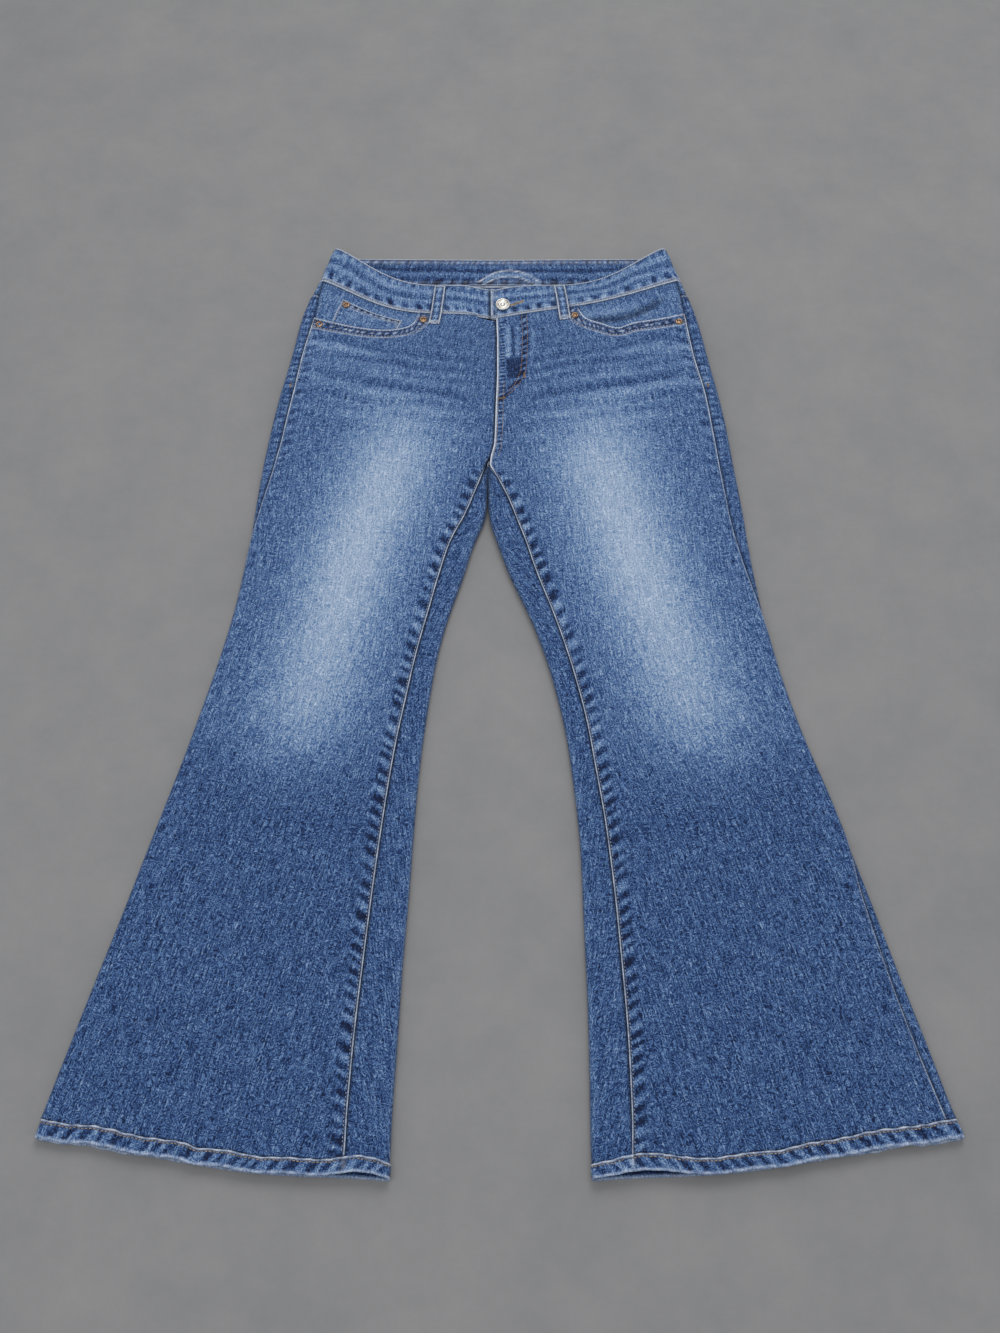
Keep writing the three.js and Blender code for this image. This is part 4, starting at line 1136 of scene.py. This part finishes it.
# Back pockets. Five-sided patches of denim topstitched to the seat, under it as it lies, with
# a wider hem along the top.

BACK_POCKETS = (("right", -118), ("left", 110))
BACK_POCKET_TOP = 412
POCKET_SIDE, POCKET_POINT = 118, 146

for half, x in BACK_POCKETS:
    part = spread((0, 1, 40))[:, None]
    side = spread((-1, 1, 40))
    foot = POCKET_SIDE + (POCKET_POINT - POCKET_SIDE) * (1 - np.abs(side))
    deep = part * foot
    wide = 71 - 9 * np.minimum(deep / POCKET_SIDE, 1)
    made = look(deep.shape)
    from_edge = np.minimum(np.minimum(wide * (1 - np.abs(side)), deep), (foot - deep) * 0.94)
    made.fade += 0.35 * bell(deep, 70, 50) * bell(side, 0, 0.7)
    made.fade += 0.25 * puckers(deep + 20 * side, 11, 86) * bell(from_edge, 5, 4)
    made.worn = np.maximum(0.9 * bell(from_edge, 0.6, 0.9), 0.4 * bell(deep, 16, 0.9))
    flat = paired(x + wide * side, BACK_POCKET_TOP - deep)
    panel = patch(f"back_pocket_cloth_{half}", flat, (0.4, 1.3), from_edge, made)
    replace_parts(panel, f"back_pocket_{half}")


# Sewing. Spun polyester thread: cream on the seams, tan on the hems and brown on the fly. A
# stitch is a bar whose ends dip into the cloth, drawn a third thicker than the real 0.6 mm.

def thread(name, colour, dark):
    """Spun thread: matt with a faint gloss, its shade drifting along the row."""
    sockets = {"Roughness": 0.6, "Specular IOR Level": 0.35, "Sheen Weight": 0.1}
    material, shader, tree = surface(name, sockets)
    where = add(tree, "TexCoord")
    drift = add(tree, "TexNoise", {}, {"Vector": where.outputs["Object"], "Scale": 260, "Detail": 2})
    tone = add(tree, "ValToRGB", {"stops": [(0.3, dark), (0.62, colour)]}, {"Fac": drift})
    tree.links.new(tone.outputs["Color"], shader.inputs["Base Color"])
    return material


cream_thread = thread("cream_polyester_thread", 0xD2D6DC, 0x8490A6)
tan_thread = thread("tan_polyester_thread", 0xBDA78C, 0x766B62)
brown_thread = thread("brown_polyester_thread", 0xA98B70, 0x5C4C46)

BAR_PLACES = np.array([-0.5, -0.32, 0.32, 0.5])
BAR_WIDTHS = np.array([0.4, 1.0, 1.0, 0.4])
BAR_DIPS = np.array([-0.35, 0.1, 0.1, -0.35])
BAR_SIDES = [[4 * ring + k, 4 * ring + (k + 1) % 4, 4 * ring + (k + 1) % 4 + 4, 4 * ring + k + 4]
             for ring in range(3) for k in range(4)]
BAR_FACES = np.array(BAR_SIDES + [[3, 2, 1, 0], [12, 13, 14, 15]])


def on_skin(half, down, across, relief=0.0):
    """A line on the skin: its points, and a step outwards of 1 mm at each."""
    down, across, relief = np.broadcast_arrays(down, across, relief)
    near = skin(half, down, across, -relief)
    return near, skin(half, down, across, -relief - 1) - near


def threads(name, lines, material, pitch=3.4, length=2.5, width=0.8, turned=False):
    """Stitches along lines. Each is centre + t * direction with four square rings, its ends dipped.

    Turned stitches lie across the line, as in a bar tack or a buttonhole.
    """
    blocks = []
    for number, (points, outwards) in enumerate(lines):
        way = lengths_along(points)
        count = max(int(way[-1] / pitch), 1)
        rng = np.random.default_rng(number + 7)
        middles = (np.arange(count) + 0.5 + rng.uniform(-0.06, 0.06, count)) * pitch
        at = lambda places, values: np.stack([np.interp(places, way, values[:, k]) for k in range(3)], -1)
        ahead = at(middles + 0.5, points) - at(middles - 0.5, points)
        ahead /= np.linalg.norm(ahead, axis=-1, keepdims=True)
        up = at(middles, outwards)
        up /= np.linalg.norm(up, axis=-1, keepdims=True)
        side = np.cross(up, ahead)
        if turned:
            ahead, side = side, -ahead
        reach = length * rng.uniform(0.92, 1.08, count)[:, None] * BAR_PLACES
        centres = at(middles, points)[:, None] + reach[..., None] * ahead[:, None]
        centres = centres + BAR_DIPS[:, None] * up[:, None]
        corners = [a * side + b * up for a, b in ((1, 0), (0, 1), (-1, 0), (0, -1))]
        spokes = np.stack(corners, 1)[:, None] * (width / 2 * BAR_WIDTHS)[:, None, None]
        blocks.append((centres[:, :, None] + spokes).reshape(-1, 16, 3))
    bars = np.concatenate(blocks)
    faces = BAR_FACES + 16 * np.arange(len(bars))[:, None, None]
    return put(name, bars.reshape(-1, 3), faces.reshape(-1, 4), material)


def front_line(half, down, across):
    """A line on a front panel that follows the panel's own relief and the shift of its end."""
    down, across = np.broadcast_arrays(np.asarray(down, float), across)
    shift, raised = hem_shift(half, down, across)
    return on_skin(half, down + shift, across, front_look(half, down, across).relief + raised)


def opening_line(half, offset):
    """The line that lies a way outside the pocket opening, on the front panel."""
    line = pocket_line(half)[2:-2]
    ahead = np.gradient(line, axis=0)
    ahead /= np.linalg.norm(ahead, axis=-1, keepdims=True)
    level, down = (line + offset * np.stack([-ahead[:, 1], ahead[:, 0]], -1)).T
    inside = down > 1.5
    level, down = level[inside], down[inside]
    guide, at = section(half, POCKET_LEVEL), section(half, down)
    part = (level - guide.start) / (guide.end - guide.start)
    return front_line(half, down, at.start + (at.end - at.start) * np.clip(part, 0.01, 1))


leg_rows = np.arange(262.0, 969.5, 1.5)
hip_rows = np.arange(24.0, 150.0, 1.5)
SEAM_INSET = 2.6
seam_lines = []
for half in HALVES:
    seam_lines.append(front_line(half, leg_rows, section(half, leg_rows).end - SEAM_INSET))
    seam_lines.append(front_line(half, hip_rows, section(half, hip_rows).start + SEAM_INSET))
threads("stitches_of_the_leg_seams", seam_lines, cream_thread, pitch=3.6, length=2.0, width=0.55)


def back_line(half, down, across):
    """A line on a back panel that follows the panel's own relief and the turning under it."""
    return on_skin(half, down, across, back_look(half, down, across).relief + 0.3)


seat_rows = np.arange(72.0, 240.0, 1.5)
seat_reach = back_reach(section("left", seat_rows), seat_rows)
back_lines = [back_line("left", seat_rows, way - seat_reach) for way in (SEAM_INSET, 8.6)]
for half in HALVES:
    yoke_across = np.linspace(-12, -section(half, 60.0).under + 4, 200)
    back_lines += [back_line(half, yoke_down(half, yoke_across) + way, yoke_across) for way in (2.8, 8.8)]
threads("stitches_of_the_seat", back_lines, cream_thread, width=0.6)

pocket_rows = []
turns = np.linspace(0, 4, 160)
for _, x in BACK_POCKETS:
    for inset in (2.4, 8.4):
        corner, point = POCKET_SIDE - 0.3 * inset, POCKET_POINT - 1.1 * inset
        edge_x = np.interp(turns, range(5), [inset - 71, inset - 62, 0, 62 - inset, 71 - inset])
        deep = np.interp(turns, range(5), [2, corner, point, corner, 2])
        pocket_rows.append(paired(x + edge_x, BACK_POCKET_TOP - deep))
    for deep in (3, 16):
        pocket_rows.append(paired(x + np.linspace(-64, 64, 60), BACK_POCKET_TOP - deep))
pocket_seams = [(np.insert(row, 2, 0.42, -1), np.tile([0, 0, -1.0], (len(row), 1))) for row in pocket_rows]
threads("stitches_of_the_back_pockets", pocket_seams, cream_thread, width=0.6)

pocket_lines = [opening_line(half, way) for half in HALVES for way in (2.4, 12.6)]
threads("stitches_of_the_front_pockets", pocket_lines, cream_thread, pitch=3.8, length=2.8, width=0.9)

fork_rows = np.arange(128.0, 248.0, 1.5)
fork_end = section("left", fork_rows).end
fork_lines = [front_line("left", fork_rows, fork_end - way) for way in (SEAM_INSET, 8.4)]
threads("stitches_of_the_rise", fork_lines, tan_thread)


def from_fly_edge(rows, way):
    """Ways across of the left front panel's points that lie a way in from the middle line."""
    return section("left", rows).over - way


curve_rows = np.array([4, 40, 75, 100, 113, 124, 133, 141, 148, 153, 157.0])
curve_ways = np.array([36.5, 36, 35.2, 34.2, 33, 30, 26, 21, 15, 9, 4.0])
bend = np.linspace(0, 10, 160)
curve = [np.interp(bend, np.arange(11), values) for values in (curve_rows, curve_ways)]
curve_lines = []
for inner in (0, 6):
    rows = curve[0] - inner * soft(120, 157, curve[0])
    ways = curve[1] - inner * soft(157, 118, curve[0])
    curve_lines.append(front_line("left", rows, from_fly_edge(rows, ways)))
threads("stitches_of_the_fly_curve", curve_lines, brown_thread, pitch=3.2, width=0.9)

coin_relief = 1.5 - 0.35
coin_across = np.arange(44.0, 116.0, 1.5)
coin_side = np.arange(16.0, 50.0, 1.5)
coin_lines = []
for way in (2.0, 6.6):
    coin_lines.append(on_skin("right", coin_top(coin_across) + way, coin_across, -coin_relief))
coin_lines.append(on_skin("right", coin_side, 44.4, -coin_relief))
coin_lines.append(on_skin("right", coin_side[:14] + 4, 114.8, -coin_relief))
box_across, box_down = 101 + np.array([0, 12, 12, 0, 0.0]), 20.4 + np.array([0, 1, 7, 6, 0.0])
box = np.linspace(0, 4, 40)
box_line = [np.interp(box, range(5), values) for values in (box_down, box_across)]
coin_lines.append(on_skin("right", *box_line, -coin_relief))
threads("stitches_of_the_coin_pocket", coin_lines, cream_thread, pitch=3.2, length=2.3)

outer_face = band_points(-band_relief - 0.1)
outwards = band_points(-band_relief - 1.1) - outer_face
band_lines = []
for way in (-46.9, -2.0):
    row = np.argmin(np.abs(BAND_ROWS - way))
    band_lines.append((outer_face[row, :-4], outwards[row, :-4]))
band_lines += [(outer_face[3:-3, column], outwards[3:-3, column]) for column in (1, 3)]
threads("stitches_of_the_waistband", band_lines, cream_thread, pitch=3.3, length=2.4, width=0.75)
hole = np.linspace(0, 1, 12)
for name, side in (("upper", -1.0), ("lower", 1.0)):
    rows = -16.5 - 4.5 * hole + side
    edge_line, above = (past_middle("left", rows, -(17 + 17 * hole), depth) for depth in (-0.25, -1.25))
    threads(f"buttonhole_{name}_edge", [(edge_line, above - edge_line)], tan_thread, pitch=0.8,
            length=2.0, width=0.7, turned=True)

HEM_STITCH = 974.6
hem_lines = []
for half in HALVES:
    across = np.linspace(2, section(half, HEM_STITCH).over - 2, 240)
    shift, raised = hem_shift(half, HEM_STITCH, across)
    hem_lines.append(on_skin(half, HEM_STITCH + shift, across, 0.1 + raised))
threads("stitches_of_the_hems", hem_lines, tan_thread, pitch=3.6, length=2.7, width=0.9)

loop_lines, loop_bars = [], []
loop_rows = np.arange(-45.0, 21.5, 1.2)
for half in HALVES:
    for offset in (-4.6, 4.6):
        across = loop_middle(loop_rows) + offset
        loop_lines.append(on_skin(half, loop_rows, across, 1.8 + loop_bow(loop_rows)))
    for row in (-44.0, 17.5, 20.0):
        loop_bars.append(on_skin(half, row, loop_middle(row) + np.linspace(-5.6, 5.6, 9), 1.85))
threads("stitches_of_the_belt_loops", loop_lines, cream_thread, pitch=3.2, length=1.9, width=0.5)
threads("bar_tacks_of_the_belt_loops", loop_bars, cream_thread, pitch=0.8, length=1.9,
        width=0.75, turned=True)

bars = [
    on_skin("left", np.linspace(117, 126, 9), from_fly_edge(np.linspace(117, 126, 9), 31.5), 0.5),
    on_skin("left", 155.0, from_fly_edge(155.0, np.linspace(3, 11, 9)), 0.6),
]
bars += [on_skin(half, np.linspace(149, 156, 8), 15.0, 0.5) for half in HALVES]
threads("bar_tacks_of_fly_and_sides", bars, brown_thread, pitch=0.8, length=2.4, width=0.8, turned=True)


# Fly zip. A woven tape with a row of metal teeth down its middle, sewn behind the fly, where
# the left front hides it.

zip_tape, shader, tree = surface("woven_zip_tape", {"Roughness": 0.85, "Sheen Weight": 0.1})
tape_map = add(tree, "UVMap", {"uv_map": "cloth"})
ribs = add(tree, "TexWave", {"bands_direction": "DIAGONAL"}, {
    "Vector": tape_map, "Scale": 260, "Distortion": 1.5,
})
tone = add(tree, "ValToRGB", {"stops": [(0.2, 0x1D2739), (0.9, 0x34415A)]}, {"Fac": ribs.outputs["Fac"]})
tree.links.new(tone.outputs["Color"], shader.inputs["Base Color"])
zip_rows = spread((2, 112, 56))[:, None]
zip_reach = spread((-24, 5, 18))
flat = paired(zip_reach, zip_rows)
upper, lower = (past_middle("left", zip_rows, zip_reach, depth) for depth in (3.0, 3.7))
faces = shell(*upper.shape[:2])
points = np.concatenate([upper.reshape(-1, 3), lower.reshape(-1, 3)])
flat_twice = np.concatenate([flat.reshape(-1, 2)] * 2)
tape = put("zip_tape_strip", points, faces, zip_tape, flat_twice)
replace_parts(tape, "fly_zip")

zip_brass, shader, tree = surface("zip_teeth_brass", {"Metallic": 1.0, "Roughness": 0.38})
shader.inputs["Base Color"].default_value = [*linear(0xB89A62), 1]
tooth_rows = np.arange(4.0, 110.0, 1.0)
tooth_line, tooth_tips = (past_middle("left", tooth_rows, -9.5, depth) for depth in (3.85, 4.85))
threads("zip_teeth", [(tooth_line, tooth_tips - tooth_line)], zip_brass, pitch=2.0, length=4.6, width=1.1,
        turned=True)


# Shank button. A die-cast cap plated pale silver, its rim rolled and its face slightly domed,
# riveted through the waistband's end.

def turned_piece(name, outline, centre, material, node, segments=64):
    """A turned piece: radius and height along its outline, carried round the vertical."""
    radius, height = np.array(outline, float).T
    turn = np.arange(segments) / segments * 2 * np.pi
    rings = np.stack([radius[:, None] * np.cos(turn), radius[:, None] * np.sin(turn),
                      height[:, None] + 0 * turn], -1) + centre
    numbers = np.arange(rings[..., 0].size).reshape(rings.shape[:2])
    numbers = np.column_stack([numbers, numbers[:, :1]])
    mesh = bpy.data.meshes.new(name)
    caps = [numbers[0, :-1][::-1].tolist(), numbers[-1, :-1].tolist()]
    mesh.from_pydata((rings.reshape(-1, 3) * MM).tolist(), [], quads(numbers).tolist() + caps)
    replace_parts(placed(name, mesh, material), node)


def metal(name, colour, stain, rough, size):
    """Worn metal: two tones mixed by a blotchy noise that also roughens it."""
    material, shader, tree = surface(name, {"Metallic": 1.0})
    where = add(tree, "TexCoord")
    inputs = {"Vector": where.outputs["Object"], "Scale": 1 / (size * MM), "Detail": 3}
    wear = add(tree, "TexNoise", {}, inputs)
    tone = add(tree, "ValToRGB", {"stops": [(0.35, stain), (0.6, colour)]}, {"Fac": wear})
    inputs = {"Value": wear, "To Min": rough + 0.12, "To Max": rough - 0.06}
    haze = add(tree, "MapRange", {}, inputs)
    dents = add(tree, "Bump", {}, {"Height": wear, "Strength": 0.25, "Distance": 0.0002})
    tree.links.new(tone.outputs["Color"], shader.inputs["Base Color"])
    tree.links.new(haze.outputs["Result"], shader.inputs["Roughness"])
    tree.links.new(dents.outputs["Normal"], shader.inputs["Normal"])
    return material


silver_plate = metal("silver_plated_zinc", 0xE0DDD6, 0xBCB8B0, 0.36, 5)
bend = np.linspace(0, np.pi / 2, 7)
cap = [(0.2, 0), (3, 0), (6.4, 0)]
cap += [(6.9 + 1.6 * np.sin(a), 1.3 - 1.3 * np.cos(a)) for a in bend]
cap += [(7.6 + 0.9 * np.cos(a), 2.5 + 0.9 * np.sin(a)) for a in bend]
cap += [(7.0, 3.3), (6.6, 2.8), (6.2, 2.4), (5.6, 2.3), (5.2, 2.5), (4.6, 2.85), (3.6, 3.0), (3.0, 2.7),
        (2.4, 2.6), (1.9, 2.0), (1.2, 1.8), (0.2, 1.8)]
button_at = past_middle("left", -19.0, -8.0, -0.4)
turned_piece("shank_button_cap", cap, button_at, silver_plate, "button")


# Rivets. Copper caps punched over the ends of the pocket seams, their middle hollow and
# their copper blotched with darker stain.

aged_copper = metal("aged_copper", 0xB39478, 0x6E5646, 0.4, 2.5)
rivet_outline = [(0.2, 0), (2.5, 0), (4.2, 0), (4.5, 0.3), (4.35, 0.8), (3.9, 1.25), (3.3, 1.55),
                 (2.7, 1.6), (2.2, 1.45), (1.9, 0.9), (1.7, 0.4), (1.3, 0.2), (0.8, 0.3), (0.2, 0.35)]
for name, half, down, across, depth in (
    ("side_right", "right", 61, 29, 0), ("side_left", "left", 58, 29, 0),
    ("top_right", "right", 15, 141, 0), ("top_left", "left", 18, 143, 0),
    ("coin_pocket", "right", 20, 49, 1.5),
):
    turned_piece(f"copper_rivet_{name}", rivet_outline, skin(half, down, across, depth - 0.3),
                 aged_copper, f"rivet_{name}", 36)
